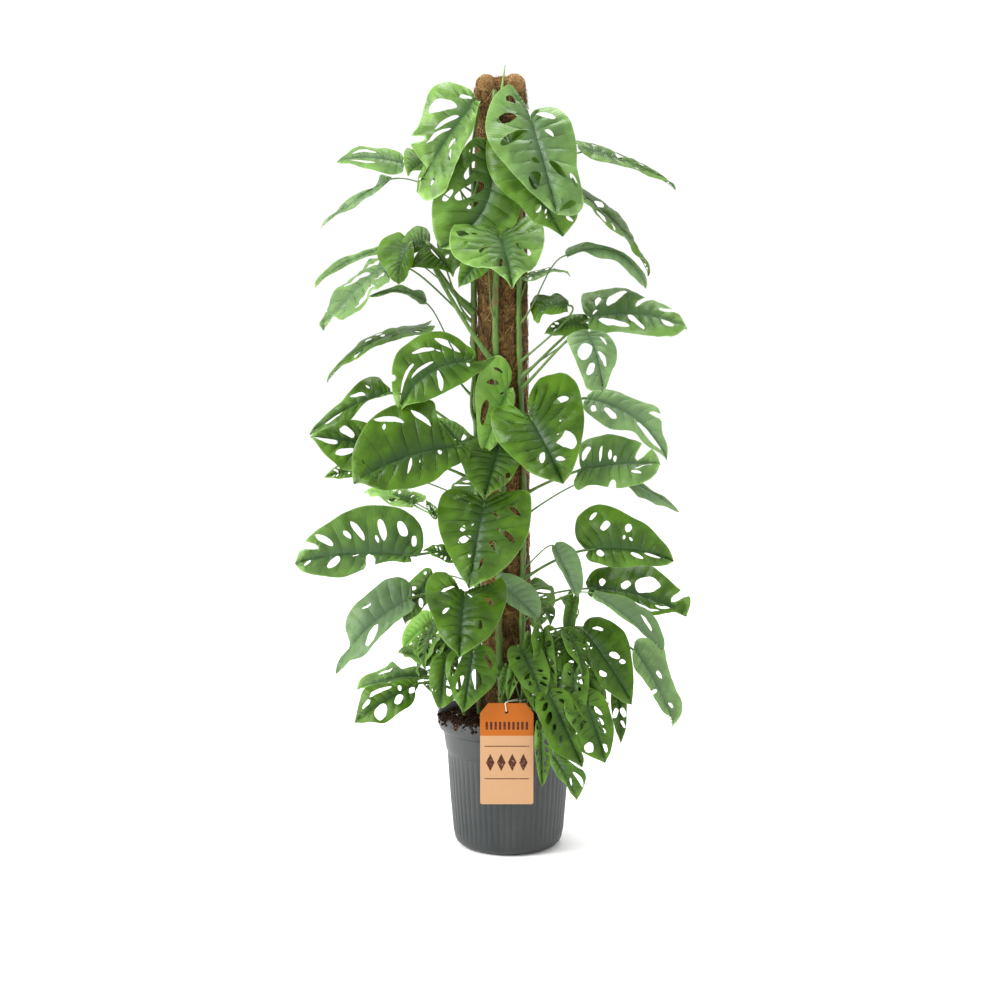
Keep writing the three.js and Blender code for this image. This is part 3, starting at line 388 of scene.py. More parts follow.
leaves = {
    "leaf_top_front": leafPlan(
        "front", 1395, (37, -120, 1377), (84, -185, 1203), (0.1, -1, 0.15), fold=12, cup=12, tone=0.8,
        cool=0.2, stalk=2.7,
        leftRim=(-25, 10, -34, 22, -25, 55, -5, 80, 16, 89, 32, 82, 44, 69, 59, 57, 76, 41, 88, 20),
        rightRim=(-3, 11, -5, 27, -1, 52, 13, 65, 28, 68, 45, 65, 62, 56, 83, 53, 99, 49, 104, 29),
        cuts=[(-1, 2.3, 40, 2.9, 80, 56), (-1, 1.5, 55, 1.6, 80, 46), (-1, 3.2, 15, 4.5, 80, 80),
            (-1, 4.2, 10, 4.4, 20, 27), (-1, 6.1, 10, 5.9, 30, 53), (-1, 7.1, 20, 7.9, 80, 100),
            (1, 1.3, 30, 2.6, 70, 105), (1, 3.4, 25, 4, 45, 48), (1, 6.2, 15, 7, 60, 86),
            (1, 6.8, 70, 7, 90, 63), (1, 9.4, 60, 8.4, 85, 108)]),
    "leaf_top_under": leafPlan(
        "front", 1366, (-4, -95, 1337), (96, -140, 1163), (-0.1, -1, 0.3), arch=15, cup=10, tone=0.1,
        stalk=2.7,
        leftRim=(-11, 1, -13, 16, -7, 33, 4, 48, 16, 57, 30, 60, 44, 54, 58, 41, 77, 34, 88, 16),
        rightRim=(-4, 22, 3, 40, 17, 50, 31, 54, 45, 58, 59, 59, 72, 56, 83, 50, 92, 39, 97, 21),
        cuts=[(-1, 8.2, 6, 8.7, 50, 29), (1, 8.5, 70, 8.5, 95, 31), (-1, 7.7, 20, 7.8, 60, 42)]),
    "leaf_top_left": leafPlan(
        "left", 1260, (-58, -70, 1407), (-168, -90, 1243), (-0.55, -0.85, 0.1), arch=14, fold=14, bow=2,
        tone=0.99, stalk=2.7,
        leftRim=(-4, 18, -3, 43, 0, 70, 12, 82, 28, 76, 49, 64, 65, 55, 73, 29, 78, 4, 90, 0),
        rightRim=(0, 10, 5, 18, 13, 26, 24, 36, 38, 46, 54, 55, 68, 58, 82, 60, 92, 57, 103, 36),
        cuts=[(-1, 0.8, 20, 1.9, 45, 125), (-1, 3, 25, 4.2, 85, 111), (-1, 3.6, 6, 5.2, 45, 63),
            (-1, 4.8, 6, 6.3, 55, 55), (1, 5.3, 30, 5.6, 45, 76), (1, 8.3, 50, 8.6, 65, 43),
            (-1, 5.9, 60, 6, 100, 64), (1, 5.8, 50, 6.1, 65, 48)]),
    "leaf_top_left_inner": leafPlan(
        "left", 1180, (-40, -80, 1334), (-124, -105, 1141), (0, -1, 0.2), arch=10, cup=8, bow=46,
        tone=0.25, stalk=2.7,
        leftRim=(-1, 5, 1, 18, 7, 38, 17, 59, 32, 79, 48, 88, 63, 89, 75, 75, 87, 47, 95, 21),
        rightRim=(-3, 8, 0, 22, 7, 33, 17, 42, 26, 52, 40, 60, 54, 64, 70, 64, 84, 50, 96, 24),
        cuts=[(-1, 2.3, 45, 2.8, 80, 60), (-1, 3.7, 45, 4.4, 65, 98), (-1, 4.9, 15, 5.9, 65, 123),
            (-1, 5.7, 70, 6.1, 85, 72), (-1, 6.2, 15, 6.7, 35, 55)]),
    "leaf_top_heart": leafPlan(
        "front", 1080, (-16, -135, 1165), (5, -240, 1077), (0, -0.6, 0.8), arch=16, cup=12, tone=0.9,
        stalk=2.7,
        leftRim=(-30, 14, -42, 34, -42, 59, -27, 81, 0, 92, 34, 96, 53, 80, 67, 59, 77, 38, 88, 19),
        rightRim=(-23, 27, -31, 47, -33, 70, -16, 83, 24, 76, 51, 66, 66, 54, 77, 40, 86, 28, 94, 14),
        cuts=[(-1, 3.4, 65, 3.5, 90, 66), (-1, 3, 50, 3.1, 65, 35), (-1, 4.5, 65, 4.7, 75, 25),
            (-1, 3.9, 10, 5.7, 55, 67), (-1, 7.2, 15, 8, 50, 90), (1, 4.6, 30, 5, 40, 33),
            (1, 5.2, 50, 5.7, 75, 67)]),
    "leaf_top_right_strap": leafPlan(
        "right", 1240, (140, 10, 1320), (315, 50, 1250), (0.2, -0.3, 1), half=46, arch=8, cup=8, lobe=0.8,
        tone=0.3),
    "leaf_right_lacy": leafPlan(
        "right", 1150, (125, -25, 1240), (265, 10, 1090), (0.55, -0.25, 0.8), half=62, arch=14, lobe=0.8,
        tone=0.1, stalk=2.7,
        holes=[(1, 3.5, 14, 68, 84), (-1, 3.5, 86, 76, 81), (-1, 4.5, 86, 74, 31)]),
    "leaf_right_arch": leafPlan(
        "right", 1000, (103, -45, 1123), (256, -15, 1067), (0.2, -0.7, 0.6), arch=26, cup=8, bow=34,
        tone=1.8, cool=0.4,
        leftRim=(2, 5, 5, 4, 9, 3, 17, 6, 27, 16, 39, 22, 53, 21, 66, 21, 79, 21, 91, 16),
        rightRim=(-1, 13, 2, 22, 8, 21, 18, 17, 29, 9, 43, 6, 57, 4, 73, 6, 86, 11, 99, 26)),
    "leaf_left_high": leafPlan(
        "left", 1240, (-192, -15, 1294), (-323, 45, 1299), (-0.1, -0.8, 0.6), arch=10, fold=10, cup=4,
        bow=-4, tone=0.61, cool=0.15,
        leftRim=(2, 10, 9, 18, 20, 21, 31, 23, 44, 21, 57, 23, 69, 24, 78, 18, 87, 10, 96, 6),
        rightRim=(-2, 10, -4, 22, 3, 29, 14, 34, 28, 34, 40, 30, 52, 27, 66, 22, 80, 16, 92, 8),
        cuts=[(-1, 5.4, 35, 6.9, 70, 259), (1, 5.4, 40, 7.3, 65, 260)]),
    "leaf_left_high_low": leafPlan(
        "left", 1200, (-216, 20, 1269), (-355, 45, 1176), (-0.4, -0.7, 0.6), arch=2, fold=6, cup=4,
        bow=-4, cool=0.35,
        leftRim=(1, 3, 6, 12, 12, 22, 19, 6, 27, 1, 37, 7, 49, 14, 62, 10, 74, 5, 87, 6),
        rightRim=(3, 2, 7, 3, 12, 8, 19, 13, 29, 16, 41, 14, 53, 14, 65, 9, 76, 3, 88, 0)),
    "leaf_left_curled": leafPlan(
        "left", 1020, (-180, -70, 1148), (-200, -120, 1079), (-0.25, -0.75, 0.6), arch=14, fold=-8, cup=4,
        tone=-0.6, stalk=4.6,
        leftRim=(-29, 22, -45, 39, -41, 55, -23, 66, 6, 66, 36, 56, 57, 42, 74, 28, 88, 18, 95, 9),
        rightRim=(-3, 3, 13, 12, 34, 18, 49, 20, 63, 21, 75, 19, 84, 17, 90, 12, 94, 9, 98, 3)),
    "leaf_left_long": leafPlan(
        "left", 1030, (-238, 25, 1136), (-369, 70, 1063), (-0.3, -0.75, 0.55), fold=10, cup=4, bow=-4,
        tone=0.46, cool=0.15,
        leftRim=(-1, 6, 4, 8, 11, 8, 20, 9, 32, 8, 45, 12, 60, 15, 73, 15, 85, 13, 96, 10),
        rightRim=(2, 6, 6, 8, 14, 8, 23, 8, 35, 7, 48, 6, 62, 6, 75, 4, 86, 3, 96, 0)),
    "leaf_left_wing": leafPlan(
        "left", 1000, (-219, -20, 1113), (-346, -35, 991), (-0.65, -0.35, 0.7), arch=10, bow=6, tone=0.86,
        cool=0.25,
        leftRim=(1, 22, 6, 49, 14, 69, 26, 63, 38, 63, 50, 55, 64, 56, 77, 55, 86, 39, 94, 21),
        rightRim=(3, 38, 11, 76, 19, 115, 27, 113, 36, 88, 47, 95, 60, 95, 77, 94, 82, 45, 91, 13),
        cuts=[(-1, 1.1, 30, 3.1, 75, 135), (-1, 3.7, 10, 5.4, 75, 127), (1, 3.1, 50, 1.3, 65, 260),
            (1, 5.4, 75, 4.1, 95, 237), (1, 6.2, 24, 7, 36, 260)]),
    "leaf_left_arch": leafPlan(
        "left", 900, (-152, -10, 1037), (-258, -55, 1054), (-0.1, -0.75, 0.55), arch=18, fold=10, bow=-6,
        tone=1.3, cool=0.25,
        leftRim=(-1, 9, 1, 24, 13, 19, 27, 11, 40, 12, 52, 12, 66, 7, 77, 4, 87, 1, 94, 0),
        rightRim=(4, 7, 13, 10, 21, 9, 32, 9, 43, 5, 55, 4, 66, 5, 77, 7, 86, 7, 95, 6)),
    "leaf_left_strip": leafPlan(
        "left", 860, (-165, -10, 990), (-340, -25, 895), (-0.4, -0.2, 0.9), left=50, right=46, arch=20,
        cup=8),
    "leaf_left_big": leafPlan(
        "left", 820, (-64, -90, 936), (-199, -145, 848), (-0.1, -0.95, 0.35), arch=14, cup=10, bow=-26,
        tone=0.22, stalk=2.7,
        leftRim=(-5, 7, -8, 21, -5, 38, -1, 60, 10, 71, 27, 73, 45, 71, 62, 67, 78, 54, 92, 31),
        rightRim=(-9, 6, -23, 4, -10, 16, 9, 34, 25, 47, 40, 49, 56, 45, 72, 35, 83, 21, 92, 8),
        cuts=[(-1, 2.5, 40, 4.3, 80, 116), (-1, 4.7, 45, 6.2, 70, 90), (-1, 5.7, 15, 7, 25, 217),
            (-1, 7.7, 37, 8.4, 49, 260), (-1, 3.9, 35, 4.5, 45, 33), (-1, 8.4, 80, 8.5, 100, 35),
            (1, 5.2, 10, 5.7, 90, 47), (1, 2.3, 25, 2.7, 55, 28)]),
    "leaf_left_mid_up": leafPlan(
        "left", 780, (-218, -10, 872), (-372, -35, 796), (-0.3, -0.7, 0.6), cup=8, bow=-4, tone=0.36,
        stalk=2.7,
        leftRim=(0, 10, 3, 22, 5, 45, 12, 53, 24, 45, 40, 34, 53, 21, 66, 13, 81, 9, 94, 6),
        rightRim=(2, 9, 9, 7, 17, 3, 27, 7, 37, 14, 48, 23, 60, 32, 72, 34, 83, 28, 93, 15),
        cuts=[(-1, 4.1, 20, 5.2, 70, 73), (1, 6.9, 6, 8.3, 40, 161), (-1, 3.4, 40, 3.7, 65, 22)]),
    "leaf_left_mid_low": leafPlan(
        "left", 700, (-228, -75, 774), (-361, -115, 801), (-0.1, -0.9, 0.45), arch=10, cup=8, tone=-0.02,
        stalk=2.7,
        leftRim=(3, 15, 12, 27, 24, 38, 36, 42, 49, 44, 58, 41, 67, 32, 76, 23, 86, 13, 94, 7),
        rightRim=(1, 21, 9, 41, 21, 54, 34, 60, 47, 59, 59, 56, 69, 48, 78, 37, 88, 23, 96, 9),
        cuts=[(-1, 5.7, 15, 6.1, 85, 121), (1, 7.9, 10, 9.3, 70, 215), (1, 5.4, 30, 6.5, 75, 123)]),
    "leaf_left_mid_front": leafPlan(
        "left", 705, (-78, -135, 785), (-278, -195, 726), (0, -0.95, 0.35), cup=10, bow=-14, tone=-0.6,
        stalk=2.7,
        leftRim=(-1, 7, 6, 12, 13, 32, 15, 61, 14, 91, 31, 95, 45, 98, 66, 89, 80, 74, 94, 44),
        rightRim=(-2, 9, 2, 21, 11, 35, 23, 44, 37, 59, 52, 59, 66, 53, 79, 42, 89, 24, 95, 8),
        cuts=[(-1, 4.1, 45, 5.1, 85, 47), (-1, 5.8, 60, 7.1, 95, 47), (-1, 6.9, 65, 6.8, 75, 20),
            (1, 3.7, 6, 3.6, 25, 30), (1, 5.9, 10, 5.9, 60, 23), (1, 5.2, 20, 5.2, 35, 12)]),
    "leaf_left_mid_pale": leafPlan(
        "left", 600, (-180, 30, 655), (-280, 95, 670), (0, -0.2, 1), half=42, arch=8, cup=4, lobe=0.6,
        slot="young_leaf"),
    "leaf_left_low_wide": leafPlan(
        "left", 560, (-178, -65, 570), (-393, -115, 566), (-0.05, -0.95, 0.35), arch=10, fold=6, cup=10,
        bow=-10, tone=0.53, cool=0.12, stalk=2.7,
        leftRim=(-4, 0, -10, 22, -9, 60, 1, 82, 18, 91, 38, 91, 55, 79, 69, 63, 82, 49, 93, 30),
        rightRim=(2, 12, 9, 16, 19, 14, 29, 19, 40, 29, 49, 35, 59, 41, 70, 40, 83, 33, 94, 20),
        cuts=[(-1, 1.6, 45, 1.8, 70, 59), (-1, 2.7, 45, 3.1, 75, 80), (-1, 3.9, 25, 4.3, 70, 51),
            (-1, 4.3, 20, 4.5, 35, 21), (-1, 5.3, 25, 5.9, 75, 40), (-1, 6.2, 35, 6.5, 60, 35),
            (-1, 7.6, 30, 8.1, 90, 53), (-1, 8.6, 40, 9.1, 100, 66), (1, 7.4, 6, 7.6, 65, 71),
            (1, 5.8, 6, 6.2, 15, 35), (1, 9.3, 10, 9.3, 70, 21), (1, 5, 6, 4, 100, 107)]),
    "leaf_left_low_glossy": leafPlan(
        "left", 470, (-182, -35, 487), (-328, -60, 344), (-0.5, -0.7, 0.5), arch=14, fold=14, cup=4,
        bow=-12, tone=-0.1, cool=0.4, stalk=2.7,
        leftRim=(-4, 12, -7, 28, -5, 48, 5, 61, 18, 62, 33, 57, 49, 51, 63, 34, 72, 7, 89, 7),
        rightRim=(2, 20, 10, 40, 20, 42, 31, 42, 43, 47, 57, 49, 69, 44, 80, 28, 87, 19, 95, 4),
        cuts=[(-1, 4.7, 50, 5.3, 65, 46), (1, 5.1, 25, 5.4, 85, 119)]),
    "leaf_left_low_inner": leafPlan(
        "left", 500, (-145, 20, 515), (-200, 10, 425), (-0.4, -0.7, 0.6), half=34, arch=8, cup=4,
        lobe=0.8),
    "leaf_left_low_front": leafPlan(
        "front", 440, (-80, -125, 515), (-90, -225, 417), (0, -0.65, 0.75), arch=14, cup=10, tone=-0.3,
        stalk=2.7,
        leftRim=(-4, 12, -18, 23, -30, 40, -29, 62, -14, 75, 15, 71, 43, 60, 67, 44, 85, 27, 94, 13),
        rightRim=(-4, 16, -10, 34, -22, 51, -29, 65, -10, 77, 18, 78, 47, 69, 71, 54, 88, 34, 96, 16),
        cuts=[(-1, 2.4, 40, 4.1, 60, 74), (-1, 5.3, 35, 6, 60, 30), (1, 1.8, 10, 3.2, 25, 92),
            (1, 6.4, 35, 6.9, 70, 63), (1, 4.3, 50, 5, 70, 46)]),
    "leaf_left_pot_leaf": leafPlan(
        "shoot_left", 300, (-169, -55, 327), (-289, -100, 261), (-0.2, -0.8, 0.6), arch=10, fold=6,
        tone=-0.2, stalk=2.7,
        leftRim=(0, 6, 6, 10, 15, 18, 26, 25, 37, 30, 47, 39, 58, 43, 68, 41, 79, 29, 90, 14),
        rightRim=(3, 5, 11, 15, 17, 27, 28, 35, 40, 38, 54, 39, 69, 37, 80, 27, 88, 16, 95, 7),
        cuts=[(1, 2.6, 6, 2.1, 55, 118), (-1, 4, 6, 3.6, 40, 51), (-1, 5.2, 40, 6.2, 65, 254),
            (-1, 7.8, 35, 8.3, 65, 106), (1, 4.5, 10, 4.5, 60, 98), (1, 6.9, 6, 6.5, 90, 140)]),
    "leaf_left_back_pale": leafPlan(
        "back", 430, (-150, 120, 410), (-210, 120, 350), (-0.3, -0.7, 0.6), half=32, arch=6, fold=6,
        cup=2, lobe=0.8, slot="young_leaf"),
    "leaf_low_left_hang": leafPlan(
        "front", 350, (-64, -115, 406), (-84, -165, 297), (0.1, -0.95, 0.3), arch=8, stalk=2.7,
        leftRim=(-2, 8, 1, 23, 10, 39, 27, 47, 46, 45, 60, 38, 71, 30, 81, 22, 89, 14, 95, 7),
        rightRim=(-6, 6, -8, 19, -2, 34, 12, 46, 28, 50, 44, 50, 57, 43, 70, 32, 82, 20, 93, 9),
        cuts=[(-1, 2.8, 45, 4.4, 85, 175), (-1, 5.6, 30, 6.6, 80, 130), (1, 5.1, 6, 6.6, 60, 206),
            (1, 2.6, 50, 3.7, 80, 141)]),
    "leaf_centre_low": leafPlan(
        "front", 560, (-44, -110, 682), (-73, -180, 531), (0, -0.95, 0.3), arch=14, cup=12, tone=-0.41,
        stalk=2.7,
        leftRim=(-6, 30, -7, 54, 0, 77, 17, 83, 33, 78, 49, 69, 63, 55, 75, 38, 87, 20, 94, 8),
        rightRim=(-11, 16, -15, 39, -19, 61, -16, 80, -1, 88, 18, 90, 37, 88, 55, 78, 72, 59, 88, 34),
        cuts=[(-1, 1.4, 55, 2.2, 75, 77), (-1, 1.9, 26, 2.4, 38, 40), (-1, 2.8, 25, 3.3, 45, 54),
            (-1, 4.3, 15, 4.4, 25, 32), (-1, 4.6, 30, 5, 50, 51), (-1, 5.6, 20, 5.9, 60, 52),
            (-1, 7.2, 15, 7.4, 35, 50), (1, 7.9, 22, 8.5, 34, 108), (1, 3, 20, 4, 40, 32),
            (1, 3.2, 55, 4.3, 80, 51), (1, 4.9, 35, 6.3, 80, 53), (1, 5.9, 20, 7.3, 65, 49)]),
    "leaf_centre_mid_back": leafPlan(
        "front", 700, (-15, -65, 775), (-45, -120, 685), (0, -0.65, 0.75), left=66, right=46, fold=6,
        cup=10, stalk=2.7,
        holes=[(1, 6.5, 72, 42, 58), (1, 5.5, 86, 27, 69)]),
    "leaf_centre_right": leafPlan(
        "right", 740, (38, -125, 839), (97, -190, 725), (0.1, -0.95, 0.3), arch=14, fold=6, cup=12,
        tone=-0.05, stalk=2.7,
        leftRim=(-12, 14, -28, 25, -32, 45, -22, 63, -4, 73, 18, 73, 41, 68, 60, 55, 79, 40, 93, 22),
        rightRim=(-40, 37, -46, 53, -44, 75, -36, 95, -17, 107, 8, 100, 37, 84, 59, 65, 79, 43, 93, 22),
        cuts=[(1, 3.1, 50, 4, 75, 61), (1, 4.8, 41, 5.1, 53, 47), (1, 5.9, 15, 7.2, 85, 130),
            (1, 7.9, 10, 8.2, 50, 46), (-1, 6.8, 15, 7.6, 50, 69)]),
    "leaf_centre_new": leafPlan(
        "front", 830, (0, -65, 884), (-47, -75, 770), (0, -1, 0.1), arch=8, fold=14, cup=2, tone=-0.5,
        slot="young_leaf",
        leftRim=(-24, 6, -36, 23, -39, 42, -24, 57, 1, 62, 26, 55, 48, 42, 67, 30, 85, 19, 96, 9),
        rightRim=(-3, 7, 6, 16, 20, 21, 36, 23, 50, 25, 63, 23, 77, 20, 87, 18, 95, 13, 100, 8),
        cuts=[(-1, 1.7, 55, 2.6, 80, 33), (-1, 2.6, 40, 3.6, 70, 58), (-1, 2.4, 10, 3, 20, 40),
            (-1, 5.1, 40, 6.7, 80, 186)]),
    "leaf_centre_glossy": leafPlan(
        "front", 480, (-20, -70, 526), (54, -95, 457), (0, -0.85, 0.5), arch=8, fold=10, cup=2,
        tone=-0.02, cool=0.5,
        leftRim=(6, 6, 15, 14, 27, 19, 38, 21, 50, 20, 61, 18, 72, 16, 81, 12, 90, 8, 96, 3),
        rightRim=(-5, 11, 0, 19, 11, 26, 24, 30, 38, 34, 53, 36, 68, 33, 82, 27, 91, 18, 97, 10)),
    "leaf_right_high": leafPlan(
        "right", 900, (150, -45, 1012), (326, -75, 996), (0.05, -0.62, 0.78), fold=6, cup=10, bow=12,
        tone=0.83, cool=0.12, stalk=2.7,
        leftRim=(0, 19, 2, 35, 11, 45, 21, 50, 34, 53, 48, 54, 62, 52, 75, 44, 88, 33, 97, 13),
        rightRim=(-9, 20, -14, 53, -13, 80, -1, 83, 16, 75, 31, 66, 46, 54, 64, 40, 82, 30, 92, 22),
        cuts=[(1, 2.1, 30, 2.7, 60, 53), (1, 1.1, 10, 1.8, 20, 86), (1, 3.2, 25, 4.9, 85, 102),
            (1, 5.7, 25, 6.6, 100, 53), (1, 7.6, 45, 8.4, 100, 83), (-1, 2.5, 25, 4.4, 75, 228),
            (-1, 5.1, 6, 6, 75, 73), (-1, 8.3, 6, 8.5, 70, 80)]),
    "leaf_right_curled": leafPlan(
        "right", 930, (112, -70, 1037), (44, -65, 1013), (-0.1, -0.5, 0.85), fold=-8, cup=4, tone=-0.11,
        leftRim=(2, 21, 14, 37, 28, 48, 45, 52, 61, 61, 78, 73, 94, 83, 99, 70, 103, 48, 101, 26),
        rightRim=(10, 19, 26, 25, 40, 24, 52, 21, 63, 19, 71, 18, 80, 18, 87, 20, 94, 19, 97, 11),
        cuts=[(1, 6, 20, 6.7, 50, 260)]),
    "leaf_right_high_hang": leafPlan(
        "right", 880, (143, -110, 992), (169, -160, 888), (0.25, -0.85, 0.45), arch=14, fold=12, tone=1.8,
        cool=0.3, stalk=2.7,
        leftRim=(0, 10, 1, 29, 11, 48, 28, 50, 44, 48, 61, 43, 77, 37, 92, 34, 99, 26, 100, 12),
        rightRim=(0, 12, 7, 26, 20, 35, 35, 41, 50, 39, 63, 32, 74, 21, 85, 13, 93, 9, 98, 5),
        cuts=[(-1, 4.3, 10, 4.4, 85, 182), (-1, 6.7, 25, 6.3, 80, 107), (1, 2.5, 40, 3.2, 60, 125),
            (1, 5.2, 10, 6.3, 65, 120)]),
    "leaf_right_mid_up": leafPlan(
        "right", 780, (143, -15, 861), (296, -45, 750), (0.2, -0.75, 0.6), fold=10, bow=24, tone=1.8,
        cool=0.35, stalk=2.7,
        leftRim=(1, 10, 6, 29, 15, 46, 26, 55, 38, 53, 50, 42, 60, 33, 72, 30, 83, 23, 93, 12),
        rightRim=(0, 10, 3, 23, 11, 31, 21, 33, 35, 28, 49, 38, 59, 46, 70, 39, 80, 22, 92, 12),
        cuts=[(-1, 2.1, 35, 2.1, 75, 78), (-1, 3.5, 25, 4.1, 65, 115), (-1, 7.1, 15, 8.5, 75, 242),
            (1, 6.5, 55, 7.1, 100, 61)]),
    "leaf_right_mid": leafPlan(
        "right", 680, (132, -60, 733), (279, -85, 747), (0, -0.75, 0.65), arch=10, fold=6, cup=8,
        tone=0.98, cool=0.12, stalk=2.7,
        leftRim=(-3, 13, -7, 32, -3, 43, 7, 42, 22, 45, 39, 50, 54, 54, 70, 51, 84, 41, 95, 20),
        rightRim=(-1, 17, -1, 40, 3, 60, 15, 68, 29, 66, 44, 62, 61, 55, 76, 45, 88, 32, 96, 18),
        cuts=[(1, 1.6, 30, 2.4, 70, 153), (1, 3.9, 10, 4, 65, 34), (1, 5, 15, 4.9, 50, 41),
            (1, 5.6, 6, 5.5, 30, 38), (1, 8, 15, 7.8, 100, 123), (-1, 9.4, 26, 8.4, 38, 260),
            (-1, 7.3, 40, 7.9, 65, 63), (-1, 5.3, 70, 5.2, 100, 78)]),
    "leaf_right_mid_strap": leafPlan(
        "right", 640, (193, -40, 721), (317, -75, 657), (0.2, -0.7, 0.6), arch=16, bow=-4, tone=1.6,
        cool=0.5,
        leftRim=(5, 6, 15, 10, 26, 14, 37, 18, 46, 22, 55, 21, 65, 19, 73, 18, 82, 13, 91, 8),
        rightRim=(-1, 7, 6, 12, 15, 13, 26, 10, 39, 8, 51, 6, 62, 4, 73, 5, 82, 5, 91, 4)),
    "leaf_right_low_wide": leafPlan(
        "right", 520, (149, -45, 578), (308, -65, 561), (0, -0.95, 0.35), arch=10, fold=6, cup=10, bow=10,
        tone=-0.01, stalk=2.7,
        leftRim=(-2, 11, 4, 22, 14, 29, 24, 34, 36, 36, 49, 34, 61, 29, 74, 24, 85, 19, 94, 12),
        rightRim=(-8, 8, -16, 25, -19, 49, -15, 70, 0, 88, 21, 80, 46, 61, 65, 49, 81, 32, 93, 18),
        cuts=[(1, 3.4, 75, 3.7, 85, 56), (1, 3.7, 40, 4.2, 60, 74), (1, 5.6, 45, 5.9, 75, 43),
            (-1, 2.5, 6, 2.6, 50, 100), (-1, 6.1, 20, 6.7, 60, 95), (-1, 7.8, 6, 8.6, 45, 128),
            (1, 5.3, 22, 5.4, 34, 23), (1, 6, 25, 5.9, 35, 32)]),
    "leaf_right_low": leafPlan(
        "right", 470, (147, -50, 507), (332, -80, 461), (0.1, -0.7, 0.7), fold=6, cup=8, bow=8, tone=-0.4,
        stalk=2.7,
        leftRim=(2, 10, 7, 19, 15, 22, 25, 24, 36, 23, 47, 24, 57, 28, 69, 33, 80, 21, 90, 3),
        rightRim=(-3, 13, -1, 30, 5, 42, 15, 51, 28, 60, 41, 72, 53, 72, 67, 60, 83, 49, 99, 41),
        cuts=[(1, 2.6, 10, 2.5, 45, 63), (1, 4.7, 6, 4.8, 35, 71), (1, 6.1, 6, 6.8, 70, 167),
            (1, 8.9, 20, 8.6, 100, 63), (-1, 6.1, 69, 6.7, 81, 260), (-1, 7.7, 45, 8.4, 70, 103)]),
    "leaf_right_low_hang": leafPlan(
        "right", 440, (153, -130, 516), (284, -155, 407), (0.35, -0.6, 0.7), arch=10, tone=-0.07,
        cool=0.35,
        leftRim=(3, 7, 9, 9, 16, 9, 25, 9, 35, 8, 47, 7, 59, 6, 72, 6, 83, 3, 93, 1),
        rightRim=(2, 6, 8, 13, 17, 19, 27, 30, 39, 40, 52, 43, 64, 45, 75, 42, 85, 31, 93, 19),
        cuts=[(1, 7.7, 35, 6.5, 55, 155)]),
    "leaf_right_narrow": leafPlan(
        "right", 540, (84, -75, 593), (128, -100, 499), (0, -0.9, 0.4), arch=6, fold=6, cup=2, tone=0.11,
        cool=0.5,
        leftRim=(-1, 3, 5, 7, 14, 9, 25, 10, 37, 10, 49, 8, 61, 8, 72, 7, 82, 6, 91, 4),
        rightRim=(-2, 7, 1, 16, 9, 24, 19, 30, 30, 32, 43, 32, 57, 29, 72, 24, 86, 17, 94, 9)),
    "leaf_pot_right_dark": leafPlan(
        "right", 400, (139, -70, 434), (230, -120, 301), (0.2, -0.85, 0.5), fold=6, cup=8, tone=-0.62,
        stalk=2.7,
        leftRim=(2, 10, 10, 22, 20, 29, 31, 33, 42, 35, 54, 35, 66, 34, 76, 30, 87, 22, 95, 12),
        rightRim=(-5, 11, -6, 24, -2, 40, 7, 51, 18, 58, 30, 62, 43, 58, 57, 45, 72, 31, 87, 14),
        cuts=[(1, 2.1, 35, 3, 60, 76), (1, 5.4, 15, 6.1, 45, 79), (1, 6.5, 35, 6.9, 65, 35),
            (-1, 3.3, 20, 2.3, 95, 120), (-1, 6.2, 45, 5.3, 80, 65)]),
    "leaf_pot_right_light": leafPlan(
        "right", 380, (238, -20, 385), (313, -50, 241), (0.5, -0.6, 0.6), arch=10, fold=10, tone=1.8,
        cool=0.2, stalk=2.7,
        leftRim=(1, 8, 7, 22, 15, 29, 23, 29, 33, 26, 45, 26, 56, 22, 68, 17, 82, 13, 90, 3),
        rightRim=(-5, 10, -7, 26, -2, 44, 4, 59, 16, 62, 30, 53, 48, 45, 66, 39, 81, 36, 93, 24),
        cuts=[(1, 5.1, 20, 5.5, 40, 79), (-1, 6.3, 35, 5.9, 100, 51), (1, 8.3, 15, 8.6, 35, 50)]),
    "leaf_pot_right_low": leafPlan(
        "right", 330, (137, -140, 332), (179, -170, 202), (0.15, -0.95, 0.3), arch=8, fold=6, tone=-0.45,
        stalk=2.7,
        leftRim=(-2, 9, 0, 22, 9, 34, 21, 42, 35, 47, 48, 49, 61, 47, 73, 41, 84, 28, 93, 13),
        rightRim=(-1, 8, 1, 17, 7, 26, 17, 33, 30, 37, 45, 36, 61, 32, 74, 25, 86, 15, 93, 7),
        cuts=[(1, 3.7, 6, 4.7, 55, 82), (1, 5.2, 20, 5.7, 50, 65), (1, 6.2, 15, 6.6, 55, 60),
            (1, 8.3, 25, 8.5, 75, 96), (-1, 2.4, 35, 2.8, 60, 77), (-1, 4.8, 15, 5.4, 90, 63),
            (-1, 7.5, 45, 7.6, 90, 96)]),
    "leaf_pot_front_low": leafPlan(
        "soil", 270, (81, -180, 222), (125, -200, 141), (0.1, -0.85, 0.5), arch=10, fold=6, tone=0.65,
        bend=(-4, 28, 100),
        leftRim=(2, 5, 8, 10, 17, 13, 30, 14, 41, 14, 51, 11, 62, 8, 71, 7, 82, 6, 92, 3),
        rightRim=(-1, 7, 7, 13, 20, 16, 33, 22, 45, 28, 55, 34, 68, 34, 78, 27, 87, 18, 94, 9),
        cuts=[(1, 5.6, 40, 7.6, 95, 127), (1, 4.7, 6, 3.9, 20, 64), (1, 7.7, 6, 6.7, 20, 102)]),
    "leaf_back_high": leafPlan(
        "back", 1210, (20, 105, 1300), (45, 195, 1195), (0.1, 0.7, 0.7), left=56, right=58),
    "leaf_back_mid": leafPlan(
        "back", 640, (-45, 120, 690), (-80, 215, 575), (-0.1, 0.7, 0.7), left=60, right=56),
    "scale": leafPlan(
